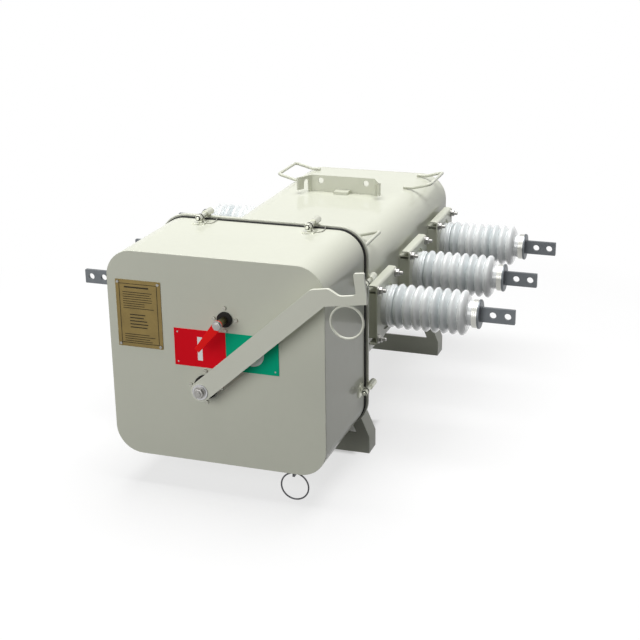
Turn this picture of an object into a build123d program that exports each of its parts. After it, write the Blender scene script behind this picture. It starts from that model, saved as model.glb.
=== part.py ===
from build123d import *
import os
from math import cos, radians, sin

# Outdoor gas insulated breaker. Millimetres: X across, Y from front to back, Z up from the floor.
# Depths are given from the front face of the mechanism housing, heights from the floor.

# Mechanism housing: a sheet cover closed by a welded front plate
housing_width = 480.0
housing_height = 458.0
housing_depth = 270.0
housing_corner = 60.0
housing_lift = 74.0
housing_sheet = 3.0
front_plate_thickness = 3.0

# Seam between the housing and the tank
gasket_thickness = 8.0
gasket_width = 16.0
gasket_proud = 2.0
flange_thickness = 10.0
flange_overhang = 6.0

# Gas tank: a rounded box section with a welded rear cover
tank_width = 424.0
tank_height = 296.0
tank_corner = 68.0
tank_wall = 4.0
tank_length = 848.0
rear_cover_thickness = 6.0
rear_cover_edge = 2.5
bushing_height = 308.0

# Bushings: three a side
first_bushing_depth = 448.0
phase_pitch = 280.0
turret_depth = 26.0
turret_width = 146.0
turret_height = 116.0
turret_lip = 4.0
turret_slot = 4.5
turret_web = 3.0
clamp_plate_thickness = 3.5
clamp_plate_width = 162.0
clamp_plate_height = 142.0
clamp_plate_lip = 17.0
clamp_plate_bend = 7.0
clamp_hole_clearance = 9.0

# Porcelain insulator: a root collar, a run of sheds and a plain neck
root_radius = 47.0
root_length = 26.0
rib_radius = 50.0
rib_width = 6.5
rib_count = 2
shed_radius = 52.5
shed_core_radius = 39.0
shed_pitch = 21.3
shed_count = 8
shed_lip = 8.6
valley_lip = 2.0
neck_radius = 29.0
neck_length = 11.0

# Terminals: a round cap with an end flange and a flat two-hole bar
cap_radius = 31.5
cap_length = 18.0
cap_flange_radius = 34.0
cap_flange_thickness = 5.0
cap_edge = 1.5
bar_length = 78.0
bar_height = 35.0
bar_thickness = 8.0
bar_corner = 2.0
bar_hole = 16.0
bar_hole_pitch = 34.0
bar_hole_edge = 17.0

# Feet: folded trays with two slanted legs that hug the tank
foot_top_width = 388.0
foot_knee = 41.0
foot_plate = 6.0
foot_fold = 50.0
foot_rail = 48.0
foot_leg = 28.0
foot_wrap = 30.0
foot_hole = 18.0
foot_hole_edge = 46.0
front_foot_setback = 3.0
rear_foot_depth = 938.0
weld_gap = 0.3

# Lifting handles: bent round bar, two legs and a grip
handle_bar = 8.0
handle_setback = 72.0
handle_overhang = 1.0
handle_rise = 12.5
handle_run = 26.0
handle_bend = 10.0
handle_span = 140.0
handle_front_margin = 57.0
handle_rear_margin = 41.0

# Hoisting bracket: a drilled plate with two hooked wings
bracket_depth = 872.0
bracket_length = 175.0
bracket_height = 43.5
bracket_plate = 5.0
bracket_hole = 15.0
bracket_hole_pitch = 124.0
bracket_hole_height = 29.0
bracket_wing = 52.0
bracket_wing_angle = 62.0
bracket_hook_along = 22.0
bracket_hook_width = 18.0
bracket_hook_depth = 26.0
bracket_hook_lift = 10.0
bracket_foot_width = 38.0
bracket_foot_height = 8.0
bracket_foot_depth = 24.0
bracket_bend = 8.0

# Cover clamps: bolts that draw the housing onto the tank flange
clamp_top_spacing = 254.0
clamp_side_low = 178.0
clamp_side_high = 428.0
clamp_reach = 46.0
clamp_overhang = 8.0
clamp_pad_length = 26.0
clamp_pad_width = 28.0
clamp_pad_thickness = 3.0
clamp_barrel_radius = 5.0
clamp_barrel_rise = 14.0
clamp_nut_radius = 6.5
clamp_nut_length = 10.0
clamp_boss_radius = 7.8
clamp_boss_length = 32.0
clamp_lug_width = 8.0

# Plates on the front
plate_thickness = 1.5
nameplate_width = 103.0
nameplate_height = 148.0
nameplate_side_margin = 20.0
nameplate_top_margin = 63.0
nameplate_gap = 26.0
position_plate_width = 116.0
position_plate_height = 82.0
position_plate_drop = 29.5

# Position pointer above the joint of the two plates
pointer_rise = 329.5
pointer_collar_radius = 16.5
pointer_collar_length = 6.0
pointer_shaft_radius = 7.5
pointer_standoff = 38.0
pointer_blade_thickness = 3.0
pointer_blade_length = 76.0
pointer_blade_width = 20.0
pointer_tip_width = 12.0
pointer_eye_radius = 10.5
pointer_end = 10.0
pointer_angle = 39.0

# Operating lever: a flat arm with a hooked head and a pull ring
lever_offset = 47.5
lever_rise = 175.8
lever_standoff = 25.0
lever_plate = 8.0
lever_arm_width = 43.0
lever_arm_length = 346.5
lever_angle = 41.7
lever_crown_round = 25.0
lever_head_tilt = 8.0
lever_head_length = 88.0
lever_head_height = 35.5
lever_shoulder_end = 13.0
lever_shoulder_round = 10.0
lever_saddle_start = 34.0
lever_saddle_height = 19.2
lever_saddle_round = 16.0
lever_throat_round = 9.0
lever_prong_start = 68.7
lever_prong_end = 90.0
lever_prong_height = 63.5
lever_prong_round = 3.0
lever_ring_along = 41.0
lever_ring_radius = 33.7
lever_ring_wire = 5.0
lever_ring_sink = 1.0
lever_collar_radius = 26.0
lever_collar_length = 6.0
lever_shaft_radius = 10.0
lever_washer_radius = 17.0
lever_washer_thickness = 3.0
lever_lock_radius = 13.0
lever_lock_thickness = 2.5
lever_nut_radius = 11.0
lever_nut_length = 7.0
lever_stud_radius = 6.0
lever_stud_tip = 2.5
shaft_tail = 20.0
shaft_clearance = 0.05

# Trip ring hanging from a lug under the housing
trip_side_margin = 77.0
trip_depth = 20.0
trip_lug_thickness = 5.0
trip_lug_width = 16.0
trip_lug_drop = 13.0
trip_hole_radius = 3.5
trip_hole_drop = 6.0
trip_ring_radius = 30.5
trip_ring_wire = 3.5
trip_seat_gap = 0.3

overrun = 5.0

# Places worked out from the sizes above
SIDES = {"right": 1, "left": -1}
PHASES = ("front", "middle", "rear")
seam_depth = housing_depth + gasket_thickness
tank_start = seam_depth + flange_thickness
tank_end = tank_start + tank_length
rear_reach = tank_end + rear_cover_thickness
tank_half = tank_width / 2
tank_top = bushing_height + tank_height / 2
tank_bottom = bushing_height - tank_height / 2
housing_top = housing_lift + housing_height
housing_centre = housing_lift + housing_height / 2
seat_reach = tank_half + turret_depth
sheds_length = shed_pitch * shed_count
insulator_length = root_length + sheds_length + neck_length
lever_reach = lever_standoff + lever_plate
lock_reach = lever_reach + lever_washer_thickness + lever_lock_thickness
nut_reach = lock_reach + lever_nut_length
front_reach = nut_reach + lever_stud_tip
flange_width = housing_width + 2 * flange_overhang
foot_width = flange_width
foot_hole_pitch = foot_width - 2 * foot_hole_edge
nameplate_left = nameplate_side_margin - housing_width / 2
pointer_x = nameplate_left + nameplate_width + nameplate_gap + position_plate_width
lever_x = pointer_x - lever_offset
lever_height = housing_lift + lever_rise
pointer_height = housing_lift + pointer_rise
trip_x = housing_width / 2 - trip_side_margin
handle_root = tank_half - handle_setback
handle_reach = tank_half + handle_overhang
foot_depths = {"front": tank_start + front_foot_setback, "rear": rear_foot_depth}

# The origin lies under the middle of the whole object, on the floor
to_origin = Location((0, (front_reach - rear_reach) / 2, 0))


def upright(x, y, z):
    """Plane across X and Z at the given place, with its normal towards the front."""
    return Plane((x, y, z), x_dir=(1, 0, 0), z_dir=(0, -1, 0))


def run_back(face, length):
    """Solid that runs back from an upright face."""
    return extrude(face, amount=-length)


def block(low, high):
    """Box between two corners."""
    size = [b - a for a, b in zip(low, high)]
    middle = [(a + b) / 2 for a, b in zip(low, high)]
    return Pos(*middle) * Box(*size)


def rounded_section(width, height, corner, centre, depth, length):
    """Rounded rectangle across X and Z, run back from a depth."""
    return run_back(upright(0, depth, centre) * RectangleRounded(width, height, corner), length)


def front_disc(x, z, radius, near, far):
    """Round bar along Y from the depth near to the depth far."""
    return run_back(upright(x, near, z) * Circle(radius), far - near)


def mirrored(solid, sign):
    """The solid itself on the right, its mirror image on the left."""
    return solid if sign > 0 else mirror(solid, about=Plane.YZ)


def housing_parts():
    """Cover, front plate, gasket and tank flange."""
    inner = housing_corner - housing_sheet
    cover_length = housing_depth - front_plate_thickness
    cover = rounded_section(housing_width, housing_height, housing_corner, housing_centre,
                            front_plate_thickness, cover_length)
    cover -= rounded_section(housing_width - 2 * housing_sheet, housing_height - 2 * housing_sheet, inner,
                             housing_centre, front_plate_thickness - overrun, cover_length + 2 * overrun)
    front = rounded_section(housing_width, housing_height, housing_corner, housing_centre,
                            0, front_plate_thickness)
    for x, z, radius in ((lever_x, lever_height, lever_shaft_radius),
                         (pointer_x, pointer_height, pointer_shaft_radius)):
        front -= front_disc(x, z, radius + shaft_clearance, -overrun, front_plate_thickness + overrun)
    seal_width = housing_width + 2 * gasket_proud
    seal_height = housing_height + 2 * gasket_proud
    seal_corner = housing_corner + gasket_proud
    seal = rounded_section(seal_width, seal_height, seal_corner, housing_centre,
                           housing_depth, gasket_thickness)
    seal -= rounded_section(seal_width - 2 * gasket_width, seal_height - 2 * gasket_width,
                            seal_corner - gasket_width, housing_centre,
                            housing_depth - overrun, gasket_thickness + 2 * overrun)
    flange = rounded_section(flange_width, housing_height + 2 * flange_overhang,
                             housing_corner + flange_overhang, housing_centre, seam_depth, flange_thickness)
    return {"mechanism_housing": cover, "front_plate": front, "seam_gasket": seal, "tank_flange": flange}


def tank_parts():
    """Tank shell and its rear cover."""
    shell = rounded_section(tank_width, tank_height, tank_corner, bushing_height, tank_start, tank_length)
    shell -= rounded_section(tank_width - 2 * tank_wall, tank_height - 2 * tank_wall,
                             tank_corner - tank_wall, bushing_height,
                             tank_start - overrun, tank_length + 2 * overrun)
    cover = rounded_section(tank_width, tank_height, tank_corner, bushing_height,
                            tank_end, rear_cover_thickness)
    cover = fillet(cover.faces().sort_by(Axis.Y)[-1].edges(), rear_cover_edge)
    return {"tank_body": shell, "tank_rear_cover": cover}


def turret():
    """Seat on the tank wall: a folded section whose upper slot is open at both ends."""
    section = Rectangle(turret_depth, turret_height)
    slot = Rectangle(turret_depth - 2 * turret_web, turret_slot)
    slot_height = turret_height / 2 - turret_lip - turret_slot / 2
    section -= Pos(0, slot_height) * slot
    return run_back(upright(tank_half + turret_depth / 2, -turret_width / 2, 0) * section, turret_width)


def clamp_plate():
    """Outer plate round the insulator, with its top and bottom edges folded back to the tank."""
    half = clamp_plate_height / 2
    outer = seat_reach + clamp_plate_thickness
    section = Pos(outer - (clamp_plate_lip + clamp_plate_thickness) / 2, 0) * Rectangle(
        clamp_plate_lip + clamp_plate_thickness, clamp_plate_height)
    corners = section.vertices().group_by(Axis.X)[-1]
    section = fillet(corners, clamp_plate_bend)
    hollow_height = clamp_plate_height - 2 * clamp_plate_thickness
    section -= Pos(seat_reach - clamp_plate_lip, 0) * Rectangle(2 * clamp_plate_lip, hollow_height)
    solid = run_back(upright(0, -clamp_plate_width / 2, 0) * section, clamp_plate_width)
    hole = Plane.YZ * Circle(root_radius + clamp_hole_clearance)
    return solid - Pos(outer - half, 0, 0) * extrude(hole, amount=2 * half)


def insulator():
    """Porcelain turned about X: root collar with small ribs, rounded sheds, then a plain neck."""
    last = (root_length - rib_count * rib_width - valley_lip, root_radius)
    outline = [Polyline((0, 0), (0, root_radius), last)]
    for _ in range(rib_count):
        foot_end = (last[0] + rib_width, root_radius)
        outline.append(ThreePointArc(last, (last[0] + rib_width / 2, rib_radius), foot_end))
        last = foot_end
    for shed in range(shed_count):
        start = root_length + shed * shed_pitch
        crest = start + shed_pitch / 2
        valley_in = (start - valley_lip, shed_core_radius + valley_lip)
        valley_out = (start + valley_lip, shed_core_radius + valley_lip)
        lip_in = (crest - shed_lip, shed_radius - shed_lip)
        lip_out = (crest + shed_lip, shed_radius - shed_lip)
        outline += [Line(last, valley_in), ThreePointArc(valley_in, (start, shed_core_radius), valley_out),
                    Line(valley_out, lip_in), ThreePointArc(lip_in, (crest, shed_radius), lip_out)]
        last = lip_out
    outline.append(Polyline(last, (root_length + sheds_length, neck_radius), (insulator_length, neck_radius),
                            (insulator_length, 0), (0, 0)))
    profile = make_face(Curve() + outline)
    return Pos(seat_reach, 0, 0) * revolve(profile, Axis.X)


def terminal():
    """Round cap with an end flange and a flat bar that has two connection holes."""
    start = seat_reach + insulator_length
    cap = Pos(start, 0, 0) * extrude(Plane.YZ * Circle(cap_radius), amount=cap_length)
    flange = Pos(start + cap_length, 0, 0) * extrude(Plane.YZ * Circle(cap_flange_radius),
                                                     amount=-cap_flange_thickness)
    cap += chamfer(flange.faces().sort_by(Axis.X)[-1].edges(), cap_edge)
    bar = Rectangle(bar_length, bar_height)
    bar = fillet(bar.vertices().group_by(Axis.X)[-1], bar_corner)
    hole_at = bar_length / 2 - bar_hole_edge
    bar -= [Pos(hole_at - step * bar_hole_pitch, 0) * Circle(bar_hole / 2) for step in (0, 1)]
    middle = start + cap_length + bar_length / 2
    return cap + run_back(upright(middle, -bar_thickness / 2, 0) * bar, bar_thickness)


def bushing_parts():
    """Seats, clamp plates, insulators and terminals, three a side."""
    parts = {}
    models = {"clamp_plate": clamp_plate(), "insulator": insulator(), "terminal": terminal()}
    seat = turret()
    for side, sign in SIDES.items():
        places = [Pos(0, first_bushing_depth + step * phase_pitch, bushing_height)
                  for step in range(len(PHASES))]
        parts[f"{side}_bushing_seats"] = Compound([place * mirrored(seat, sign) for place in places])
        for name, model in models.items():
            for phase, place in zip(PHASES, places):
                parts[f"{name}_{side}_{phase}"] = place * mirrored(model, sign)
    return parts


def foot(depth):
    """Folded tray across the breaker: a floor rail and two legs cut to the tank's underside."""
    top = tank_bottom + foot_wrap
    slope = (foot_width - foot_top_width) / 2 / (tank_bottom - foot_knee)
    half_base = foot_width / 2
    half_top = half_base - slope * (top - foot_knee)
    right = [(half_base, 0), (half_base, foot_knee), (half_top, top)]
    outline = make_face(Polyline(*right, *[(-x, z) for x, z in reversed(right)], close=True))
    tray = run_back(upright(0, depth, 0) * outline, foot_fold)
    inner = offset(outline, amount=-foot_plate, kind=Kind.INTERSECTION)
    tray -= run_back(upright(0, depth + foot_plate, 0) * inner, foot_fold)
    gap_low = half_base - slope * (foot_rail - foot_knee) - foot_leg
    gap_high = half_top - foot_leg
    gap = make_face(Polyline((gap_low, foot_rail), (gap_high, top + overrun), (-gap_high, top + overrun),
                             (-gap_low, foot_rail), close=True))
    tray -= run_back(upright(0, depth - overrun, 0) * gap, foot_fold + 2 * overrun)
    tray -= rounded_section(tank_width + 2 * weld_gap, tank_height + 2 * weld_gap, tank_corner + weld_gap,
                            bushing_height, depth - overrun, foot_fold + 2 * overrun)
    drill = Cylinder(foot_hole / 2, 4 * foot_plate)
    row = depth + (foot_plate + foot_fold) / 2
    return tray - [Pos(sign * foot_hole_pitch / 2, row, 0) * drill for sign in SIDES.values()]


def lifting_handle(sign, near):
    """Bent bar: two legs run out over the tank's shoulder and rise to a grip along Y."""
    seat = tank_top + handle_bar / 2 + weld_gap
    far = near + handle_span
    leg = [(handle_root, seat), (handle_root + handle_run, seat), (handle_reach, seat + handle_rise)]
    points = [(x, near, z) for x, z in leg] + [(x, far, z) for x, z in reversed(leg)]
    path = FilletPolyline(*points, radius=handle_bend)
    bar = sweep(Plane(path @ 0, z_dir=path % 0) * Circle(handle_bar / 2), path=path)
    return mirrored(bar, sign)


def hoisting_bracket():
    """Bent upright plate with two hoisting holes and hooked wings, standing on the tank."""
    half = bracket_length / 2
    turn = radians(bracket_wing_angle)
    tip_x = half + bracket_wing * cos(turn)
    tip_y = bracket_depth - bracket_wing * sin(turn)
    line = FilletPolyline((-tip_x, tip_y), (-half, bracket_depth), (half, bracket_depth), (tip_x, tip_y),
                          radius=bracket_bend)
    plate = Pos(0, 0, tank_top) * extrude(trace(line, bracket_plate), amount=bracket_height)
    behind = bracket_depth - bracket_plate
    for sign in SIDES.values():
        plate -= front_disc(sign * bracket_hole_pitch / 2, tank_top + bracket_hole_height,
                            bracket_hole / 2, behind, behind + 2 * bracket_plate)
    hook = Pos(0, bracket_hook_depth / 2) * Rectangle(bracket_hook_width, bracket_hook_depth)
    hook += Pos(0, bracket_hook_depth) * Circle(bracket_hook_width / 2)
    hook += Pos(bracket_wing / 2, bracket_hook_lift / 2) * Rectangle(bracket_wing, bracket_hook_lift)
    at_hook = (half + bracket_hook_along * cos(turn), bracket_depth - bracket_hook_along * sin(turn))
    across = Plane((*at_hook, tank_top), x_dir=(cos(turn), -sin(turn), 0), z_dir=(-sin(turn), -cos(turn), 0))
    slot = extrude(across * hook, amount=bracket_plate, both=True)
    plate -= [slot, mirror(slot, about=Plane.YZ)]
    front = bracket_depth - bracket_plate / 2
    tab = block((-bracket_foot_width / 2, front - bracket_foot_depth, tank_top),
                (bracket_foot_width / 2, front, tank_top + bracket_foot_height))
    return plate + tab


def cover_clamp():
    """One clamp lying on a level face at Z zero: pad and nut on the cover, barrel over the seam, rear boss."""
    near = housing_depth - clamp_reach
    far = tank_start + clamp_overhang
    half_lug = clamp_lug_width / 2
    pad = block((-clamp_pad_width / 2, near, 0), (clamp_pad_width / 2, near + clamp_pad_length, clamp_pad_thickness))
    front_lug = block((-half_lug, near + clamp_nut_length, 0),
                      (half_lug, near + clamp_pad_length, clamp_barrel_rise))
    rear_lug = block((-half_lug, seam_depth, flange_overhang), (half_lug, tank_start, clamp_barrel_rise))
    barrel = front_disc(0, clamp_barrel_rise, clamp_barrel_radius, near, far)
    barrel += front_disc(0, clamp_barrel_rise, clamp_nut_radius, near, near + clamp_nut_length)
    barrel += front_disc(0, clamp_barrel_rise, clamp_boss_radius, far - clamp_boss_length, far)
    return pad + front_lug + rear_lug + barrel


def clamp_parts():
    """Clamps on the top and the two sides of the seam."""
    clamp = cover_clamp()
    top = [Pos(sign * clamp_top_spacing / 2, 0, housing_top) * clamp for sign in SIDES.values()]
    side = [Pos(housing_width / 2, 0, height) * Rot(0, 90, 0) * clamp
            for height in (clamp_side_low, clamp_side_high)]
    return {"cover_clamps_top": Compound(top), "cover_clamps_right": Compound(side),
            "cover_clamps_left": Compound([mirror(one, about=Plane.YZ) for one in side])}


def plate_parts():
    """Nameplate and the two position plates on the front."""
    top = housing_top - nameplate_top_margin
    parts = {"nameplate": block((nameplate_left, -plate_thickness, top - nameplate_height),
                                (nameplate_left + nameplate_width, 0, top))}
    upper = pointer_height - position_plate_drop
    for name, sign in (("closed_plate", -1), ("open_plate", 1)):
        edges = sorted((pointer_x, pointer_x + sign * position_plate_width))
        parts[name] = block((edges[0], -plate_thickness, upper - position_plate_height),
                            (edges[1], 0, upper))
    return parts


def collar(x, z, radius, length, bore):
    """Round collar on the front plate with a running bore."""
    ring = front_disc(x, z, radius, -length, 0)
    return ring - front_disc(x, z, bore + shaft_clearance, -length - overrun, overrun)


def pointer_parts():
    """Collar, and the pointer with its shaft."""
    fixed = collar(pointer_x, pointer_height, pointer_collar_radius, pointer_collar_length,
                   pointer_shaft_radius)
    shaft = front_disc(pointer_x, pointer_height, pointer_shaft_radius,
                       -pointer_standoff - pointer_end, shaft_tail)
    blade = make_face(Polyline((-pointer_blade_width / 2, 0), (-pointer_tip_width / 2, -pointer_blade_length),
                               (pointer_tip_width / 2, -pointer_blade_length),
                               (pointer_blade_width / 2, 0), close=True))
    blade += Circle(pointer_eye_radius)
    face = upright(pointer_x, -pointer_standoff - pointer_blade_thickness, pointer_height)
    blade = run_back(face * Rot(0, 0, -pointer_angle) * blade, pointer_blade_thickness)
    return {"pointer_collar": fixed, "position_pointer": shaft + blade}


def lever_outline():
    """Flat arm with a saddled, pronged head, drawn along the head from the inner corner of the bend."""
    bend = radians(lever_angle - lever_head_tilt)
    along = (cos(bend), sin(bend))
    low = (-lever_arm_length * along[0], -lever_arm_length * along[1])
    high = (low[0] - lever_arm_width * along[1], low[1] + lever_arm_width * along[0])
    reach = (lever_head_height - high[1]) / along[1]
    crown = (high[0] + reach * along[0], lever_head_height)
    shoulder = (lever_shoulder_end, lever_head_height)
    saddle = (lever_saddle_start, lever_saddle_height)
    throat = (lever_prong_start, lever_saddle_height)
    prong_in = (lever_prong_start, lever_prong_height)
    prong_out = (lever_prong_end, lever_prong_height)
    outline = make_face(Polyline((0, 0), (lever_head_length, 0), prong_out, prong_in, throat, saddle,
                                 shoulder, crown, high, low, close=True))
    rounds = {crown: lever_crown_round, shoulder: lever_shoulder_round, saddle: lever_saddle_round,
              throat: lever_throat_round, prong_in: lever_prong_round, prong_out: lever_prong_round}
    for corner, radius in rounds.items():
        outline = fillet(outline.vertices().sort_by_distance(corner)[0], radius)
    pivot = ((low[0] + high[0]) / 2, (low[1] + high[1]) / 2)
    outline += Pos(*pivot) * Circle(lever_arm_width / 2)
    return outline - Pos(*pivot) * Circle(lever_shaft_radius), pivot


def lever_parts():
    """Collar, lever with its hooked head and pull ring, and the bolt it turns on."""
    fixed = collar(lever_x, lever_height, lever_collar_radius, lever_collar_length, lever_shaft_radius)
    outline, pivot = lever_outline()
    to_head = Rot(0, 0, lever_head_tilt) * Pos(-pivot[0], -pivot[1])
    lever = run_back(upright(lever_x, -lever_reach, lever_height) * to_head * outline, lever_plate)
    ring_drop = lever_ring_radius + lever_ring_wire / 2 - lever_ring_sink
    ring = to_head * Pos(lever_ring_along, -ring_drop) * Torus(lever_ring_radius, lever_ring_wire / 2)
    lever += upright(lever_x, -lever_reach + lever_plate / 2, lever_height) * ring
    bolt = front_disc(lever_x, lever_height, lever_shaft_radius, -lever_reach, shaft_tail)
    bolt += front_disc(lever_x, lever_height, lever_stud_radius, -front_reach, -lever_reach)
    bolt += front_disc(lever_x, lever_height, lever_lock_radius, -lock_reach, -lever_reach)
    bolt += front_disc(lever_x, lever_height, lever_washer_radius,
                       -lever_reach - lever_washer_thickness, -lever_reach)
    nut = upright(lever_x, -nut_reach, lever_height) * RegularPolygon(lever_nut_radius, 6)
    bolt += run_back(nut, lever_nut_length)
    return {"lever_collar": fixed, "operating_lever": lever, "lever_bolt": bolt}


def trip_parts():
    """Lug under the housing and the ring that hangs in it."""
    hole_height = housing_lift - trip_hole_drop
    lug = block((trip_x - trip_lug_thickness / 2, trip_depth - trip_lug_width / 2,
                 housing_lift - trip_lug_drop),
                (trip_x + trip_lug_thickness / 2, trip_depth + trip_lug_width / 2, housing_lift))
    bore = Plane((trip_x - trip_lug_thickness, trip_depth, hole_height), z_dir=(1, 0, 0))
    lug -= extrude(bore * Circle(trip_hole_radius), amount=2 * trip_lug_thickness)
    wire = trip_ring_wire / 2
    hang = hole_height - (trip_hole_radius - wire - trip_seat_gap)
    ring = upright(trip_x, trip_depth, hang - trip_ring_radius) * Torus(trip_ring_radius, wire)
    return {"trip_lug": lug, "trip_ring": ring}


def all_parts():
    """Every piece of the breaker by name."""
    parts = housing_parts() | tank_parts() | bushing_parts()
    for name, depth in foot_depths.items():
        parts[f"{name}_foot"] = foot(depth)
    handle_starts = {"front": tank_start + handle_front_margin,
                     "rear": tank_end - handle_rear_margin - handle_span}
    for place, near in handle_starts.items():
        for side, sign in SIDES.items():
            parts[f"lifting_handle_{place}_{side}"] = lifting_handle(sign, near)
    parts["hoisting_bracket"] = hoisting_bracket()
    return parts | clamp_parts() | plate_parts() | pointer_parts() | lever_parts() | trip_parts()


os.makedirs("parts", exist_ok=True)
for part_name, solid in all_parts().items():
    export_step(to_origin * solid, os.path.join("parts", part_name + ".step"))
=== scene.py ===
"""Dressed model of an outdoor pole-type gas insulated breaker, built round its CAD frame."""

import logging
import math
from dataclasses import dataclass, field
from enum import Enum
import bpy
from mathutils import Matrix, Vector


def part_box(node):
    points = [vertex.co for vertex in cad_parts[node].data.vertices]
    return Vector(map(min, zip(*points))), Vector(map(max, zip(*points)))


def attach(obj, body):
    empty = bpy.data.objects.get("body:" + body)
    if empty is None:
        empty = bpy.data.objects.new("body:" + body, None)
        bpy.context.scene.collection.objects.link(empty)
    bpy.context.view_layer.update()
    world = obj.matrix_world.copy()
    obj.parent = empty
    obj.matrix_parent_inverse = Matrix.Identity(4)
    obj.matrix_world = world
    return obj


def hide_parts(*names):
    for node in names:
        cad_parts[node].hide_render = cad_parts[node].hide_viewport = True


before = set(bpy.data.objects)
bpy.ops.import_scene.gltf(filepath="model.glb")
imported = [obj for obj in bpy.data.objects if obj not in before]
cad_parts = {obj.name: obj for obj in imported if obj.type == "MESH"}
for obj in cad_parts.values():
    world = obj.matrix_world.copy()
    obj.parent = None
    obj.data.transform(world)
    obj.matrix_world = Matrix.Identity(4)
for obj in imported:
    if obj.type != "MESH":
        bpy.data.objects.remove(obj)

from types import MappingProxyType
from typing import Any, Dict, Iterator, List, Mapping, Sequence, Tuple, Union

import bmesh
import bpy
from mathutils import Matrix, Vector

Colour = Tuple[float, float, float]
Place = Tuple[float, float, float]
Sizes = Mapping[str, Union[float, int]]
Profile = Sequence[Tuple[float, float]]
Ring = List[bmesh.types.BMVert]

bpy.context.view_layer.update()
EMPTY = MappingProxyType({})
MM = 0.001
FRONT_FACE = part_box("front_plate")[0].y
FORWARD = Vector((0.0, -1.0, 0.0))
SINK = 0.3 * MM
IMAGE_PIXELS = 640
MERGE_GAP = 1e-6
SEAM_GAP = 2e-6
FLAT_ANGLE = math.radians(0.4)
EASED_ANGLE = math.radians(34.0)
log = logging.getLogger("breaker")


class Slot(Enum):
    """Material slots of the record."""

    PAINT = "paint"
    RUBBER = "rubber"
    PORCELAIN = "porcelain"
    TINNED = "tinned_metal"
    ZINC = "zinc"
    BRASS = "brass"
    RED = "red"
    GREEN = "green"
    BLACK = "black"


class Body(Enum):
    """Bodies of the frame that pieces ride on."""

    FRAME = "frame"
    LEVER = "lever"
    POINTER = "pointer"
    TRIP_RING = "trip_ring"


class Side(Enum):
    """Sides of the breaker seen from the front, with the sign of X."""

    RIGHT = 1
    LEFT = -1

    @property
    def word(self) -> str:
        """The side's name in nodes and pieces."""
        return self.name.lower()

    @property
    def outward(self) -> Vector:
        """The way that the side faces."""
        return Vector((self.value, 0.0, 0.0))


class Phase(Enum):
    """The three bushings of a side, from the front to the back."""

    FRONT = "front"
    MIDDLE = "middle"
    REAR = "rear"


class Sock:
    """An output socket whose arithmetic adds Math nodes to its tree."""

    def __init__(self, sheet: "NodeSheet", socket: bpy.types.NodeSocket) -> None:
        """Wrap a socket that lies on a sheet."""
        self.sheet = sheet
        self.socket = socket

    def _math(self, operation: str, first: "Value", second: "Value" = 0.0) -> "Sock":
        """Add one Math node and return its result."""
        return self.sheet.out("ShaderNodeMath", {"operation": operation}, {0: first, 1: second})

    def __add__(self, other: "Value") -> "Sock":
        """Sum of two values."""
        return self._math("ADD", self, other)

    __radd__ = __add__

    def __sub__(self, other: "Value") -> "Sock":
        """Difference of two values."""
        return self._math("SUBTRACT", self, other)

    def __rsub__(self, other: "Value") -> "Sock":
        """Difference with the socket last."""
        return self._math("SUBTRACT", other, self)

    def __mul__(self, other: "Value") -> "Sock":
        """Product of two values."""
        return self._math("MULTIPLY", self, other)

    __rmul__ = __mul__

    def __truediv__(self, other: "Value") -> "Sock":
        """Quotient of two values."""
        return self._math("DIVIDE", self, other)

    def __rtruediv__(self, other: "Value") -> "Sock":
        """Quotient with the socket below the line."""
        return self._math("DIVIDE", other, self)

    def __pow__(self, other: "Value") -> "Sock":
        """Power of a value."""
        return self._math("POWER", self, other)

    def __gt__(self, other: "Value") -> "Sock":
        """One where the value is greater, else zero."""
        return self._math("GREATER_THAN", self, other)

    def __lt__(self, other: "Value") -> "Sock":
        """One where the value is less, else zero."""
        return self._math("LESS_THAN", self, other)

    def cosine(self) -> "Sock":
        """Cosine of an angle in radians."""
        return self._math("COSINE", self)

    def sine(self) -> "Sock":
        """Sine of an angle in radians."""
        return self._math("SINE", self)

    def held(self, low: float = 0.0, high: float = 1.0) -> "Sock":
        """The value kept between two limits."""
        return self._math("MINIMUM", self._math("MAXIMUM", self, low), high)


Value = Union[Sock, float]


class NodeSheet:
    """A node tree on which nodes are laid out and linked."""

    def __init__(self, tree: bpy.types.NodeTree) -> None:
        """Lay nodes on this tree."""
        self.tree = tree

    def put(self, kind: str, settings: Mapping[str, Any] = EMPTY,
            sockets: Mapping[Any, Any] = EMPTY) -> bpy.types.Node:
        """Add a node, set it up, then fill its sockets.

        Args:
            kind: Blender's name of the node type.
            settings: Properties set first.
            sockets: Values or links by the socket's name or number. A list links several.

        Returns:
            The new node.
        """
        node = self.tree.nodes.new(kind)
        for name, value in settings.items():
            setattr(node, name, value)
        for key, value in sockets.items():
            for item in value if isinstance(value, list) else [value]:
                if isinstance(item, Sock):
                    self.tree.links.new(item.socket, node.inputs[key])
                else:
                    node.inputs[key].default_value = item
        return node

    def out(self, kind: str, settings: Mapping[str, Any] = EMPTY, sockets: Mapping[Any, Any] = EMPTY,
            output: Union[int, str] = 0) -> Sock:
        """Add a node and return one of its outputs.

        Args:
            kind: Blender's name of the node type.
            settings: Properties set first.
            sockets: Values or links by the socket's name or number.
            output: Name or number of the output.

        Returns:
            The wrapped output.
        """
        return Sock(self, self.put(kind, settings, sockets).outputs[output])

    def vector(self, x: Value, y: Value, z: Value) -> Sock:
        """A vector of three values."""
        return self.out("ShaderNodeCombineXYZ", {}, {0: x, 1: y, 2: z})


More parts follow.
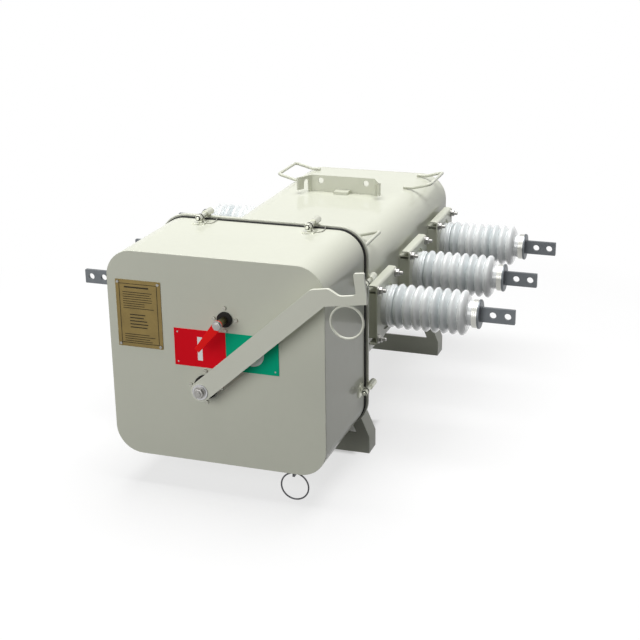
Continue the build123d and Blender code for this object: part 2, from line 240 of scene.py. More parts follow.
class ShaderSheet(NodeSheet):
    """The node tree of one material or of the world."""

    @classmethod
    def blank(cls, owner: Union[bpy.types.Material, bpy.types.World]) -> "ShaderSheet":
        """Empty the owner's node tree and take it as a sheet.

        Args:
            owner: Material or world.

        Returns:
            The empty sheet.
        """
        owner.use_nodes = True
        owner.node_tree.nodes.clear()
        return cls(owner.node_tree)

    def place(self, stretch: Place = (1.0, 1.0, 1.0)) -> Sock:
        """Object coordinates, stretched along the axes."""
        spot = self.out("ShaderNodeTexCoord", output="Object")
        return self.out("ShaderNodeMapping", {}, {"Vector": spot, "Scale": stretch})

    def noise(self, place: Sock, grain: float, detail: float = 2.0) -> Sock:
        """Cloudy values between zero and one.

        Args:
            place: Coordinates to read.
            grain: How many clouds lie in a metre.
            detail: Number of finer layers.

        Returns:
            The noise value.
        """
        return self.out("ShaderNodeTexNoise", {}, {"Vector": place, "Scale": grain, "Detail": detail})

    def blend(self, share: Value, first: Union[Sock, Colour], second: Union[Sock, Colour]) -> Sock:
        """A colour between two others.

        Args:
            share: Zero for the first colour, one for the second.
            first: First colour.
            second: Second colour.

        Returns:
            The mixed colour.
        """
        ends = [c if isinstance(c, Sock) else (*c, 1.0) for c in (first, second)]
        return self.out("ShaderNodeMix", {"data_type": "RGBA"}, {0: share, 6: ends[0], 7: ends[1]}, 2)

    def relief(self, height: Sock, depth: float, strength: float = 1.0) -> Sock:
        """Normals of a fine relief.

        Args:
            height: Height between zero and one.
            depth: Height of the relief in metres.
            strength: Share of the relief that shows.

        Returns:
            The bent normal.
        """
        return self.out("ShaderNodeBump", {}, {"Height": height, "Distance": depth, "Strength": strength})


def toned(colour: Colour, share: float) -> Colour:
    """The colour made darker or lighter by a share."""
    return tuple(min(1.0, part * share) for part in colour)


@dataclass(frozen=True)
class Finish:
    """A finish: its colour, gloss and the record's slot it belongs to."""

    label: str
    slot: Slot
    colour: Colour
    roughness: float = 0.4

    def lay(self, sheet: ShaderSheet) -> Dict[str, Any]:
        """Lay the finish's nodes.

        Args:
            sheet: Tree of the material.

        Returns:
            Values and links of the shader's sockets.
        """
        raise NotImplementedError

    def material(self) -> bpy.types.Material:
        """The finish's material, made when first asked for.

        Returns:
            The material.
        """
        known = bpy.data.materials.get(self.label)
        if known:
            return known
        material = bpy.data.materials.new(self.label)
        sheet = ShaderSheet.blank(material)
        shader = sheet.out("ShaderNodeBsdfPrincipled", {}, self.lay(sheet))
        sheet.put("ShaderNodeOutputMaterial", {}, {"Surface": shader})
        return material


@dataclass(frozen=True)
class Enamel(Finish):
    """Stoved enamel on sheet metal: clouded tone, orange peel and a clear gloss."""

    tone: float = 0.04
    peel_depth: float = 0.0001
    coat: float = 0.4
    shine: float = 0.15
    coat_roughness: float = 0.04
    cloud_grain: float = 4.5
    dust_grain: float = 60.0
    peel_grain: float = 330.0
    peel_share: float = 0.4
    dust_share: float = 0.12
    dust_tone: float = 0.86
    dust_roughness: float = 0.12

    def lay(self, sheet: ShaderSheet) -> Dict[str, Any]:
        """Lay clouded colour, dusty roughness and the orange peel.

        Args:
            sheet: Tree of the material.

        Returns:
            Values and links of the shader's sockets.
        """
        place = sheet.place()
        cloud = sheet.noise(place, self.cloud_grain, 3.0)
        dust = sheet.noise(place, self.dust_grain, 4.0)
        peel = sheet.noise(place, self.peel_grain, 1.0)
        tinted = sheet.blend(cloud, toned(self.colour, 1.0 - self.tone), toned(self.colour, 1.0 + self.tone))
        lying = (dust * 2.0 - 0.9).held() * self.dust_share
        dusted = sheet.blend(lying, tinted, toned(self.colour, self.dust_tone))
        return {"Base Color": dusted, "Roughness": self.roughness + (dust - 0.5) * self.dust_roughness,
                "Coat Weight": self.coat, "Coat Roughness": self.coat_roughness, "IOR": 1.5,
                "Specular IOR Level": self.shine, "Normal": sheet.relief(peel, self.peel_depth, self.peel_share)}


@dataclass(frozen=True)
class Porcelain(Finish):
    """White glaze with painted blue-grey shade in the hollows between the sheds."""

    valley_colour: Colour = (0.60, 0.65, 0.66)
    film_grain: float = 28.0
    film_roughness: float = 0.08
    wave_grain: float = 70.0
    wave_depth: float = 0.0006
    wave_share: float = 0.25
    coat_roughness: float = 0.04

    def lay(self, sheet: ShaderSheet) -> Dict[str, Any]:
        """Lay the glaze, its film of dust and its soft waves.

        Args:
            sheet: Tree of the material.

        Returns:
            Lay the glaze with painted shade between the sheds, a dusty haze that also makes that painted shade
            patchy, and its soft waves.
        """
        place = sheet.place()
        valley = sheet.out("ShaderNodeAttribute", {"attribute_name": "valley"}, output="Fac")
        dust_and_shade_film = sheet.noise(place, self.film_grain, 4.0)
        wave = sheet.noise(place, self.wave_grain, 1.0)
        # Painted shade: the glaze is greyed between the sheds, unevenly by the dusty haze noise.
        share = (valley * (0.55 + dust_and_shade_film * 0.6)).held()
        glazed = sheet.blend(share, self.colour, self.valley_colour)
        return {"Base Color": glazed, "Roughness": self.roughness + dust_and_shade_film * self.film_roughness,
                "Coat Weight": 1.0, "Coat Roughness": self.coat_roughness,
                "Normal": sheet.relief(wave, self.wave_depth, self.wave_share)}


@dataclass(frozen=True)
class BareMetal(Finish):
    """Rolled or plated metal with a drawn grain and a patchy second tint."""

    tint: Colour = (0.5, 0.5, 0.5)
    grain: Place = (30.0, 260.0, 260.0)
    grain_depth: float = 0.00008
    grain_share: float = 0.6
    grain_roughness: float = 0.22
    patch_grain: float = 55.0

    def lay(self, sheet: ShaderSheet) -> Dict[str, Any]:
        """Lay the patches and the drawn grain.

        Args:
            sheet: Tree of the material.

        Returns:
            Values and links of the shader's sockets.
        """
        patch = sheet.noise(sheet.place(), self.patch_grain, 3.0)
        drawn = sheet.noise(sheet.place(self.grain), 6.0, 3.0)
        return {"Base Color": sheet.blend(patch, self.colour, self.tint), "Metallic": 1.0,
                "Roughness": self.roughness + (drawn - 0.5) * self.grain_roughness,
                "Normal": sheet.relief(drawn, self.grain_depth, self.grain_share)}


@dataclass(frozen=True)
class EtchedPlate(Finish):
    """Brass plate: brushed along its width, tarnished in clouds."""

    tarnish: Colour = (0.2, 0.16, 0.08)
    cloud_grain: float = 38.0
    brushing: Place = (8.0, 400.0, 400.0)
    brush_depth: float = 0.00006
    brush_share: float = 0.6
    brush_roughness: float = 0.2

    def lay(self, sheet: ShaderSheet) -> Dict[str, Any]:
        """Lay the tarnish and the brushed lines.

        Args:
            sheet: Tree of the material.

        Returns:
            Values and links of the shader's sockets.
        """
        cloud = sheet.noise(sheet.place(), self.cloud_grain, 4.0)
        brushed = sheet.noise(sheet.place(self.brushing), 5.0, 2.0)
        share = (cloud * 1.3 - 0.25).held()
        return {"Base Color": sheet.blend(share, self.colour, self.tarnish), "Metallic": 0.75,
                "Roughness": self.roughness + (brushed - 0.5) * self.brush_roughness,
                "Normal": sheet.relief(brushed, self.brush_depth, self.brush_share)}


@dataclass(frozen=True)
class Moulded(Finish):
    """Matt black rubber or moulding with a fine pebble grain."""

    pebble: float = 700.0
    pebble_depth: float = 0.0002
    pebble_share: float = 0.5
    shine: float = 0.15
    bloom_grain: float = 60.0
    bloom_tone: float = 1.9
    bloom_roughness: float = 0.15

    def lay(self, sheet: ShaderSheet) -> Dict[str, Any]:
        """Lay the pebble grain and a grey bloom.

        Args:
            sheet: Tree of the material.

        Returns:
            Values and links of the shader's sockets.
        """
        place = sheet.place()
        grain = sheet.noise(place, self.pebble, 2.0)
        bloom = sheet.noise(place, self.bloom_grain, 3.0)
        return {"Base Color": sheet.blend(bloom, self.colour, toned(self.colour, self.bloom_tone)),
                "Roughness": self.roughness + bloom * self.bloom_roughness, "Specular IOR Level": self.shine,
                "Normal": sheet.relief(grain, self.pebble_depth, self.pebble_share)}


PAINT = Enamel("grey_green_enamel", Slot.PAINT, (0.60, 0.612, 0.516), 0.42)
# Painted shade: the feet take a darker copy of the enamel for the shade that falls on them under the tank.
SHADED_FOOT_PAINT = Enamel("foot_enamel", Slot.PAINT, (0.41, 0.42, 0.35), 0.42)
LEVER_PAINT = Enamel("lever_enamel", Slot.PAINT, (0.70, 0.71, 0.61), 0.42)
GASKET = Moulded("seam_rubber", Slot.RUBBER, (0.008, 0.008, 0.008), 0.6)
GLAZE = Porcelain("white_glaze", Slot.PORCELAIN, (0.81, 0.83, 0.83), 0.12)
TINNED = BareMetal("tinned_bar", Slot.TINNED, (0.155, 0.165, 0.172), 0.42, tint=(0.11, 0.12, 0.13))
CAP_METAL = BareMetal("cap_metal", Slot.TINNED, (0.60, 0.60, 0.56), 0.36, tint=(0.46, 0.46, 0.43))
ZINC = BareMetal("zinc_plate", Slot.ZINC, (0.33, 0.325, 0.31), 0.36, tint=(0.25, 0.245, 0.235))
CLAMP_ZINC = BareMetal("clamp_zinc", Slot.ZINC, (0.62, 0.63, 0.55), 0.42, tint=(0.46, 0.465, 0.40))
DULL_ZINC = BareMetal("dull_zinc", Slot.ZINC, (0.40, 0.40, 0.35), 0.40, tint=(0.26, 0.26, 0.23))
STEEL = BareMetal("bright_steel", Slot.ZINC, (0.52, 0.52, 0.52), 0.24, tint=(0.42, 0.42, 0.43))
WIRE = BareMetal("dark_wire", Slot.ZINC, (0.10, 0.10, 0.11), 0.38, tint=(0.05, 0.05, 0.05))
SHAFT = BareMetal("olive_shaft", Slot.BRASS, (0.24, 0.22, 0.11), 0.35, tint=(0.13, 0.12, 0.06))
BRASS = EtchedPlate("etched_brass", Slot.BRASS, (0.215, 0.155, 0.052), 0.42, tarnish=(0.14, 0.10, 0.036))
INK = Moulded("etched_lines", Slot.BLACK, (0.022, 0.018, 0.010), 0.5)
BLACK = Moulded("black_collar", Slot.BLACK, (0.008, 0.008, 0.007), 0.5)
SIGN_RED = Enamel("red_sign", Slot.RED, (0.76, 0.004, 0.014), 0.45, tone=0.05, coat=0.0, shine=0.08)
POINTER_RED = Enamel("red_pointer", Slot.RED, (0.92, 0.012, 0.012), 0.4, coat=0.0, shine=0.1)
SIGN_GREEN = Enamel("green_sign", Slot.GREEN, (0.0, 0.40, 0.22), 0.45, tone=0.05, coat=0.0, shine=0.08)
MARK_WHITE = Enamel("white_mark", Slot.PAINT, (0.84, 0.85, 0.84), 0.4, tone=0.03, coat=0.0, shine=0.3)


def at(x: float, depth: float, z: float) -> Vector:
    """A place in millimetres: across, back from the front face, up from the floor."""
    return Vector((x * MM, FRONT_FACE + depth * MM, z * MM))


def middle_of(node: str) -> Vector:
    """The middle of a CAD node's box."""
    low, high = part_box(node)
    return (low + high) / 2


def end_of(node: str, side: Side, outer: bool = False) -> Vector:
    """The middle of a node's end.

    Args:
        node: Name of the CAD node.
        side: Side of the breaker that it is on.
        outer: Whether the end away from the tank is meant.

    Returns:
        The place.
    """
    low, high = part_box(node)
    middle = middle_of(node)
    return Vector((high.x if (side is Side.RIGHT) == outer else low.x, middle.y, middle.z))


def rod_profile(run: float, radius: float, chamfer: float) -> Profile:
    """Profile of a round rod with chamfered ends."""
    return [(0.0, radius - chamfer), (chamfer, radius), (run - chamfer, radius), (run, radius - chamfer)]


def mesh_of(shape: bmesh.types.BMesh, name: str) -> bpy.types.Mesh:
    """Turn an edited shape into a mesh and free it.

    Args:
        shape: The edited shape.
        name: Name of the mesh.

    Returns:
        The mesh.
    """
    mesh = bpy.data.meshes.new(name)
    shape.to_mesh(mesh)
    shape.free()
    return mesh


def circle(steps: int) -> List[float]:
    """Even angles round a circle."""
    return [math.tau * step / steps for step in range(steps)]


def join_rings(shape: bmesh.types.BMesh, near: Ring, far: Ring) -> None:
    """Lay a band of faces between two closed rings of corners.

    Args:
        shape: Shape that gets the faces.
        near: First ring.
        far: Second ring, with as many corners.
    """
    for step in range(len(near)):
        after = (step + 1) % len(near)
        shape.faces.new((near[step], near[after], far[after], far[step]))


def turned_rings(shape: bmesh.types.BMesh, profile: Profile, start: Vector, axis: Vector,
                 sides: int) -> List[Ring]:
    """Round rings of corners, one for each point of a profile.

    Args:
        shape: Shape that gets the corners.
        profile: Distance along the axis and radius, in millimetres.
        start: Where the axis begins.
        axis: Direction of the axis.
        sides: Corners in a ring.

    Returns:
        The rings in the profile's order.
    """
    turn = axis.to_track_quat("Z", "Y").to_matrix()
    round_ways = [(math.cos(angle), math.sin(angle)) for angle in circle(sides)]
    return [[shape.verts.new(start + turn @ Vector((radius * MM * x, radius * MM * y, along * MM)))
             for x, y in round_ways] for along, radius in profile]


def stood(name: str, data: bpy.types.ID) -> bpy.types.Object:
    """Put a mesh, curve, lamp or camera into the scene as an object.

    Args:
        name: Name of the object.
        data: What it shows.

    Returns:
        The object.
    """
    item = bpy.data.objects.new(name, data)
    bpy.context.scene.collection.objects.link(item)
    return item


def hold(shape: Union[bpy.types.Mesh, bpy.types.Curve]) -> bpy.types.Object:
    """Put a shape on a helper object in the scene."""
    return stood(shape.name + "_holder", shape)


def settle(holder: bpy.types.Object, name: str) -> bpy.types.Mesh:
    """Turn a helper object with modifiers into a plain mesh and remove the helper.

    Args:
        holder: Object whose modifiers make the shape.
        name: Name of the new mesh.

    Returns:
        The plain mesh.
    """
    graph = bpy.context.evaluated_depsgraph_get()
    mesh = bpy.data.meshes.new_from_object(holder.evaluated_get(graph), preserve_all_data_layers=True,
                                           depsgraph=graph)
    mesh.name = name
    holder.modifiers.clear()
    bpy.data.objects.remove(holder)
    return mesh


def smoothed(mesh: bpy.types.Mesh, sharp_angle: float = 38.0) -> bpy.types.Mesh:
    """Shade a mesh smooth between its sharp edges, with flat faces kept flat.

    Args:
        mesh: Closed mesh.
        sharp_angle: Edges over this many degrees stay sharp.

    Returns:
        The shaded mesh.
    """
    shape = bmesh.new()
    shape.from_mesh(mesh)
    bmesh.ops.remove_doubles(shape, verts=shape.verts, dist=MERGE_GAP)
    bmesh.ops.recalc_face_normals(shape, faces=shape.faces)
    for face in shape.faces:
        face.smooth = True
    for edge in shape.edges:
        edge.smooth = len(edge.link_faces) == 2 and edge.calc_face_angle(0.0) < math.radians(sharp_angle)
    shape.to_mesh(mesh)
    shape.free()
    name = mesh.name
    holder = hold(mesh)
    weighted = holder.modifiers.new("flats", "WEIGHTED_NORMAL")
    weighted.keep_sharp = True
    return settle(holder, name)


def eased_mesh(mesh: bpy.types.Mesh, ease: float, segments: int = 2) -> bpy.types.Mesh:
    """Round a mesh's sharp edges.

    Args:
        mesh: Closed mesh with merged corners.
        ease: Size of the rounding in millimetres.
        segments: Facets across the rounding.

    Returns:
        The rounded and shaded mesh.
    """
    name = mesh.name
    holder = hold(mesh)
    bevel = holder.modifiers.new("ease", "BEVEL")
    bevel.width = ease * MM
    bevel.segments = segments
    bevel.limit_method = "ANGLE"
    bevel.angle_limit = EASED_ANGLE
    return smoothed(settle(holder, name))


def eased_copy(node: str, ease: float, segments: int = 2) -> bpy.types.Mesh:
    """A merged copy of a CAD node with rounded edges.

    Args:
        node: Name of the CAD node.
        ease: Size of the rounding in millimetres.
        segments: Facets across the rounding.

    Returns:
        The new mesh.
    """
    shape = bmesh.new()
    shape.from_mesh(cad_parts[node].data)
    bmesh.ops.remove_doubles(shape, verts=shape.verts, dist=MERGE_GAP)
    bmesh.ops.dissolve_limit(shape, angle_limit=FLAT_ANGLE, verts=shape.verts, edges=shape.edges)
    return eased_mesh(mesh_of(shape, node + "_finished"), ease, segments)


def prism(name: str, outline: Profile, near: float, far: float, ease: float) -> bpy.types.Mesh:
    """An upright plate cut to an outline.

    Args:
        name: Name of the mesh.
        outline: Corners across and up, in millimetres.
        near: Depth of the front face.
        far: Depth of the rear face.
        ease: Rounding of the edges.

    Returns:
        The closed mesh.
    """
    shape = bmesh.new()
    rings = [[shape.verts.new(at(x, depth, z)) for x, z in outline] for depth in (near, far)]
    for ring in rings:
        shape.faces.new(ring)
    join_rings(shape, *rings)
    bmesh.ops.recalc_face_normals(shape, faces=shape.faces)
    return eased_mesh(mesh_of(shape, name), ease)


def turned(name: str, profile: Profile, start: Vector, axis: Vector, sides: int = 40) -> bpy.types.Mesh:
    """A turned solid.

    Args:
        name: Name of the mesh.
        profile: Distance along the axis and radius, in millimetres, from one end to the other.
        start: Where the axis begins.
        axis: Direction of the axis.
        sides: Facets round the axis.

    Returns:
        The closed mesh.
    """
    shape = bmesh.new()
    rings = turned_rings(shape, profile, start, axis, sides)
    for near, far in zip(rings, rings[1:]):
        join_rings(shape, near, far)
    shape.faces.new(rings[0])
    shape.faces.new(rings[-1])
    return smoothed(mesh_of(shape, name))


def turned_ring(name: str, profile: Profile, start: Vector, axis: Vector, sides: int = 64) -> bpy.types.Mesh:
    """A turned ring whose profile comes back to its start.

    Args:
        name: Name of the mesh.
        profile: Distance along the axis and radius, in millimetres, the first repeated last.
        start: Where the axis begins.
        axis: Direction of the axis.
        sides: Facets round the axis.

    Returns:
        The closed mesh.
    """
    shape = bmesh.new()
    rings = turned_rings(shape, profile[:-1], start, axis, sides)
    for near, far in zip(rings, rings[1:] + rings[:1]):
        join_rings(shape, near, far)
    return smoothed(mesh_of(shape, name))


def hoop(name: str, centre: Vector, radius: float, wire: float, sides: int = 16,
         steps: int = 96) -> bpy.types.Mesh:
    """A round wire ring that lies across X and Z.

    Args:
        name: Name of the mesh.
        centre: Middle of the ring.
        radius: Radius to the middle of the wire, in millimetres.
        wire: Diameter of the wire.
        sides: Facets round the wire.
        steps: Facets round the ring.

    Returns:
        The closed mesh.
    """
    shape = bmesh.new()
    loops = []
    half = wire / 2
    for turn in circle(steps):
        outward = Vector((math.cos(turn), 0.0, math.sin(turn)))
        loops.append([shape.verts.new(centre + outward * (radius + half * math.cos(angle)) * MM
                                      - FORWARD * half * MM * math.sin(angle)) for angle in circle(sides)])
    for near, far in zip(loops, loops[1:] + loops[:1]):
        join_rings(shape, near, far)
    return smoothed(mesh_of(shape, name))


def bent_wire(name: str, bends: Sequence[Vector], wire: float) -> bpy.types.Mesh:
    """A closed wire that runs smoothly through its bends.

    Args:
        name: Name of the mesh.
        bends: Places that it passes.
        wire: Diameter of the wire in millimetres.

    Returns:
        The closed mesh.
    """
    curve = bpy.data.curves.new(name + "_line", "CURVE")
    curve.dimensions = "3D"
    curve.bevel_depth = wire / 2 * MM
    curve.bevel_resolution = 3
    curve.use_fill_caps = True
    line = curve.splines.new("BEZIER")
    line.resolution_u = 8
    line.bezier_points.add(len(bends) - 1)
    for point, place in zip(line.bezier_points, bends):
        point.co = place
        point.handle_left_type = point.handle_right_type = "AUTO"
    return smoothed(settle(hold(curve), name))


def finished(name: str, mesh: bpy.types.Mesh, finish: Finish, body: Body = Body.FRAME,
             stands_for: Sequence[str] = ()) -> bpy.types.Object:
    """Make a mesh a finished piece that rides on a body.

    Args:
        name: Name of the piece.
        mesh: Its mesh, in place.
        finish: Its finish.
        body: Body that it moves with.
        stands_for: CAD nodes that it replaces.

    Returns:
        The piece.
    """
    piece = stood(name, mesh)
    mesh.materials.clear()
    mesh.materials.append(finish.material())
    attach(piece, body.value)
    if stands_for:
        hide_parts(*stands_for)
    log.info("%s: %d faces, %s", name, len(mesh.polygons), finish.label)
    return piece


def dress(node: str, name: str, ease: float, finish: Finish, body: Body = Body.FRAME,
          segments: int = 2) -> bpy.types.Object:
    """Show a CAD node as a finished piece with rounded edges.

    Args:
        node: Name of the CAD node.
        name: Name of the piece.
        ease: Size of the rounding in millimetres.
        finish: Its finish.
        body: Body that it moves with.
        segments: Facets across the rounding.

    Returns:
        The piece.
    """
    return finished(name, eased_copy(node, ease, segments), finish, body, [node])


class Recipe(NodeSheet):
    """A Geometry Nodes tree with named inputs, run once on a carrier mesh."""

    KINDS = {float: "NodeSocketFloat", int: "NodeSocketInt"}
    TOP_SHARE = 0.86

    def __init__(self, label: str, inputs: Sizes) -> None:
        """Start the tree.

        Args:
            label: Name of the tree.
            inputs: Named sizes with their usual values.
        """
        super().__init__(bpy.data.node_groups.new(label, "GeometryNodeTree"))
        face = self.tree.interface
        face.new_socket("Geometry", in_out="INPUT", socket_type="NodeSocketGeometry")
        for name, value in inputs.items():
            face.new_socket(name, in_out="INPUT", socket_type=self.KINDS[type(value)]).default_value = value
        face.new_socket("Finish", in_out="INPUT", socket_type="NodeSocketMaterial")
        face.new_socket("Geometry", in_out="OUTPUT", socket_type="NodeSocketGeometry")
        self.entry = self.put("NodeGroupInput")

    def given(self, name: str) -> Sock:
        """A named input of the tree."""
        return Sock(self, self.entry.outputs[name])

    def close(self, geometry: Sock) -> None:
        """Realize the instances, set the finish and end the tree.

        Args:
            geometry: What the tree has made.
        """
        whole = self.out("GeometryNodeRealizeInstances", {}, {"Geometry": geometry})
        dressed = self.out("GeometryNodeSetMaterial", {}, {"Geometry": whole, "Material": self.given("Finish")})
        self.put("NodeGroupOutput", {}, {"Geometry": dressed})

    def moved(self, geometry: Sock, x: Value = 0.0, y: Value = 0.0, z: Value = 0.0) -> Sock:
        """The geometry moved along the axes.

        Args:
            geometry: What is moved.
            x: Shift across.
            y: Shift back.
            z: Shift up.

        Returns:
            The moved geometry.
        """
        shift = self.vector(x, y, z)
        return self.out("GeometryNodeTransform", {}, {"Geometry": geometry, "Translation": shift})

    def joined(self, *parts: Sock) -> Sock:
        """Several geometries as one."""
        return self.out("GeometryNodeJoinGeometry", {}, {"Geometry": list(parts)})

    def stub(self, sides: int, radius: Value, height: Value, foot: Value = 0.0, edge: float = 0.12) -> Sock:
        """A closed round or many-sided stub along Z with a drawn-in top edge.

        Args:
            sides: Facets round it.
            radius: Its radius.
            height: Its height.
            foot: Where it begins on Z.
            edge: Share of the height that the edge takes.

        Returns:
            Its geometry.
        """
        shank = height * (1.0 - edge)
        drum = self.put("GeometryNodeMeshCylinder", {"fill_type": "NGON"},
                        {"Vertices": sides, "Radius": radius, "Depth": shank})
        lifted = self.moved(Sock(self, drum.outputs["Mesh"]), z=foot + shank / 2)
        topped = self.put("GeometryNodeExtrudeMesh", {"mode": "FACES"}, {
            "Mesh": lifted, "Selection": Sock(self, drum.outputs["Top"]),
            "Offset Scale": height * edge, "Individual": False})
        return self.out("GeometryNodeScaleElements", {"domain": "FACE"}, {
            "Geometry": Sock(self, topped.outputs["Mesh"]), "Selection": Sock(self, topped.outputs["Top"]),
            "Scale": self.TOP_SHARE})

    def spread(self, model: Sock) -> Sock:
        """The model on every carrier point, turned along the point's axis.

        Args:
            model: Geometry of one model.

        Returns:
            The instances.
        """
        axis = self.out("GeometryNodeInputNamedAttribute", {"data_type": "FLOAT_VECTOR"}, {"Name": "axis"})
        turn = self.out("FunctionNodeAlignRotationToVector", {"axis": "Z"}, {"Vector": axis})
        return self.out("GeometryNodeInstanceOnPoints", {}, {
            "Points": self.given("Geometry"), "Instance": model, "Rotation": turn})

    def run(self, name: str, carrier: bpy.types.Mesh, finish: Finish,
            values: Sizes = EMPTY) -> bpy.types.Mesh:
        """Run the tree and keep its result as a plain mesh.

        Args:
            name: Name of the result.
            carrier: Mesh that the tree starts from.
            finish: Finish that the tree sets.
            values: Sizes that differ from the usual ones.

        Returns:
            The plain mesh.
        """
        holder = hold(carrier)
        modifier = holder.modifiers.new("recipe", "NODES")
        modifier.node_group = self.tree
        wanted = {**values, "Finish": finish.material()}
        for item in self.tree.interface.items_tree:
            if item.in_out == "INPUT" and item.name in wanted:
                modifier[item.identifier] = wanted[item.name]
        return settle(holder, name)


def carrier_points(name: str, places: Sequence[Vector], axes: Sequence[Vector]) -> bpy.types.Mesh:
    """Loose points that carry an axis each.

    Args:
        name: Name of the mesh.
        places: Where the points lie.
        axes: Direction of each point.

    Returns:
        The carrier mesh.
    """
    mesh = bpy.data.meshes.new(name)
    mesh.from_pydata([tuple(place) for place in places], [], [])
    attribute = mesh.attributes.new("axis", "FLOAT_VECTOR", "POINT")
    for item, axis in zip(attribute.data, axes):
        item.vector = axis
    return mesh


@dataclass(frozen=True)
class StudNut:
    """Sizes of a washer, a nut and its stud, in millimetres."""

    washer_radius: float
    washer_height: float
    nut_radius: float
    nut_height: float
    stud_radius: float
    stud_tip: float

    def values(self) -> Dict[str, float]:
        """The named inputs of the tree, in metres.

        Returns:
            Sizes by the names of the inputs.
        """
        return {"Washer Radius": self.washer_radius * MM, "Washer Height": self.washer_height * MM,
                "Nut Radius": self.nut_radius * MM, "Nut Height": self.nut_height * MM,
                "Stud Radius": self.stud_radius * MM,
                "Stud Length": (self.washer_height + self.nut_height + self.stud_tip) * MM}


class Fasteners(Enum):
    """Kinds of fastener that the workshop sets."""

    STUD_NUT = "stud_nut"
    PAN_SCREW = "pan_screw"
    RIVET = "rivet"
    SEAL = "seal"


class FastenerBox:
    """Geometry Nodes trees for nuts on studs, slotted screws, rivets and thick rings."""

    USUAL_NUT = StudNut(washer_radius=11.0, washer_height=2.0, nut_radius=8.6, nut_height=7.5, stud_radius=4.4,
                        stud_tip=8.5)
    WASHER_SIDES = 28
    NUT_SIDES = 6
    STUD_SIDES = 20
    STUD_EDGE = 0.08
    HEAD_SIDES = 24
    HEAD_EDGE = 0.35
    SEAL_SIDES = 32

    def __init__(self) -> None:
        """Build one tree for each kind."""
        self.recipes = {Fasteners.STUD_NUT: self.stud_nut(), Fasteners.PAN_SCREW: self.pan_screw(),
                        Fasteners.RIVET: self.rivet(), Fasteners.SEAL: self.seal()}

    def stud_nut(self) -> Recipe:
        """A washer, a hexagon nut and the end of its stud.

        Returns:
            The closed tree.
        """
        tree = Recipe("stud_nut", self.USUAL_NUT.values())
        rise = tree.given("Washer Height")
        washer = tree.stub(self.WASHER_SIDES, tree.given("Washer Radius"), rise + SINK, -SINK)
        nut = tree.stub(self.NUT_SIDES, tree.given("Nut Radius"), tree.given("Nut Height") + SINK, rise - SINK)
        stud = tree.stub(self.STUD_SIDES, tree.given("Stud Radius"), tree.given("Stud Length") + SINK, -SINK,
                         self.STUD_EDGE)
        tree.close(tree.spread(tree.joined(washer, nut, stud)))
        return tree

    def pan_screw(self) -> Recipe:
        """A round head with a slot across it.

        Returns:
            The closed tree.
        """
        tree = Recipe("pan_screw", {"Head Radius": 4.2 * MM, "Head Height": 3.0 * MM,
                                    "Slot Width": 0.9 * MM, "Slot Depth": 1.1 * MM})
        radius, height = tree.given("Head Radius"), tree.given("Head Height")
        head = tree.stub(self.HEAD_SIDES, radius, height + SINK, -SINK, self.HEAD_EDGE)
        cut = tree.out("GeometryNodeMeshCube", {}, {"Size": tree.vector(
            radius * 3.0, tree.given("Slot Width"), tree.given("Slot Depth") * 2.0)})
        slotted = tree.out("GeometryNodeMeshBoolean", {"operation": "DIFFERENCE", "solver": "EXACT"}, {
            "Mesh 1": head, "Mesh 2": [tree.moved(cut, z=height)]})
        tree.close(tree.spread(slotted))
        return tree

    @staticmethod
    def rivet() -> Recipe:
        """A low dome.

        Returns:
            The closed tree.
        """
        tree = Recipe("rivet", {"Head Radius": 2.0 * MM, "Head Height": 1.1 * MM})
        ball = tree.out("GeometryNodeMeshUVSphere", {}, {"Segments": 18, "Rings": 10, "Radius": 1.0})
        radius = tree.given("Head Radius")
        dome = tree.out("GeometryNodeTransform", {}, {
            "Geometry": ball, "Scale": tree.vector(radius, radius, tree.given("Head Height"))})
        tree.close(tree.spread(dome))
        return tree

    def seal(self) -> Recipe:
        """A thick ring with a drawn-in rim.

        Returns:
            The closed tree.
        """
        tree = Recipe("seal", {"Radius": 7.7 * MM, "Height": 3.0 * MM})
        tree.close(tree.spread(tree.stub(self.SEAL_SIDES, tree.given("Radius"), tree.given("Height"))))
        return tree

    def set(self, kind: Fasteners, name: str, places: Sequence[Vector], axes: Sequence[Vector], finish: Finish,
            body: Body = Body.FRAME, values: Sizes = EMPTY) -> bpy.types.Object:
        """Set fasteners of one kind as one piece.

        Args:
            kind: Kind of fastener.
            name: Name of the piece.
            places: Where each one sits.
            axes: Where each one points.
            finish: Their finish.
            body: Body that they move with.
            values: Sizes that differ from the usual ones.

        Returns:
            The piece.
        """
        mesh = self.recipes[kind].run(name, carrier_points(name + "_points", places, axes), finish, values)
        return finished(name, smoothed(mesh), finish, body)

    def collar_screws(self, name: str, collar: str, radius: float) -> None:
        """Four screws round a collar, level and upright from its middle.

        Args:
            name: Name of the piece.
            collar: CAD node of the collar.
            radius: Radius of the ring of screws, in millimetres.
        """
        middle = middle_of(collar)
        places = [Vector((middle.x + x * radius * MM, FRONT_FACE, middle.z + z * radius * MM))
                  for x, z in ((1, 0), (0, 1), (-1, 0), (0, -1))]
        self.set(Fasteners.PAN_SCREW, name, places, [FORWARD] * len(places), DULL_ZINC)


@dataclass
class Housing:
    """Mechanism housing, its front plate, the seam and the tank flange."""

    edge: float = 1.4
    plate_edge: float = 1.2
    gasket_edge: float = 2.2
    flange_edge: float = 1.6

    def build(self) -> None:
        """Dress the cover, the front plate, the gasket and the flange."""
        dress("mechanism_housing", "housing_cover", self.edge, PAINT)
        dress("front_plate", "housing_front", self.plate_edge, PAINT)
        dress("seam_gasket", "housing_gasket", self.gasket_edge, GASKET, segments=3)
        dress("tank_flange", "seam_flange", self.flange_edge, PAINT)


@dataclass
class Tank:
    """Gas tank and its rear cover."""

    edge: float = 1.0

    def build(self) -> None:
        """Dress the shell and the rear cover."""
        dress("tank_body", "tank_shell", self.edge, PAINT)
        dress("tank_rear_cover", "tank_end", self.edge, PAINT)


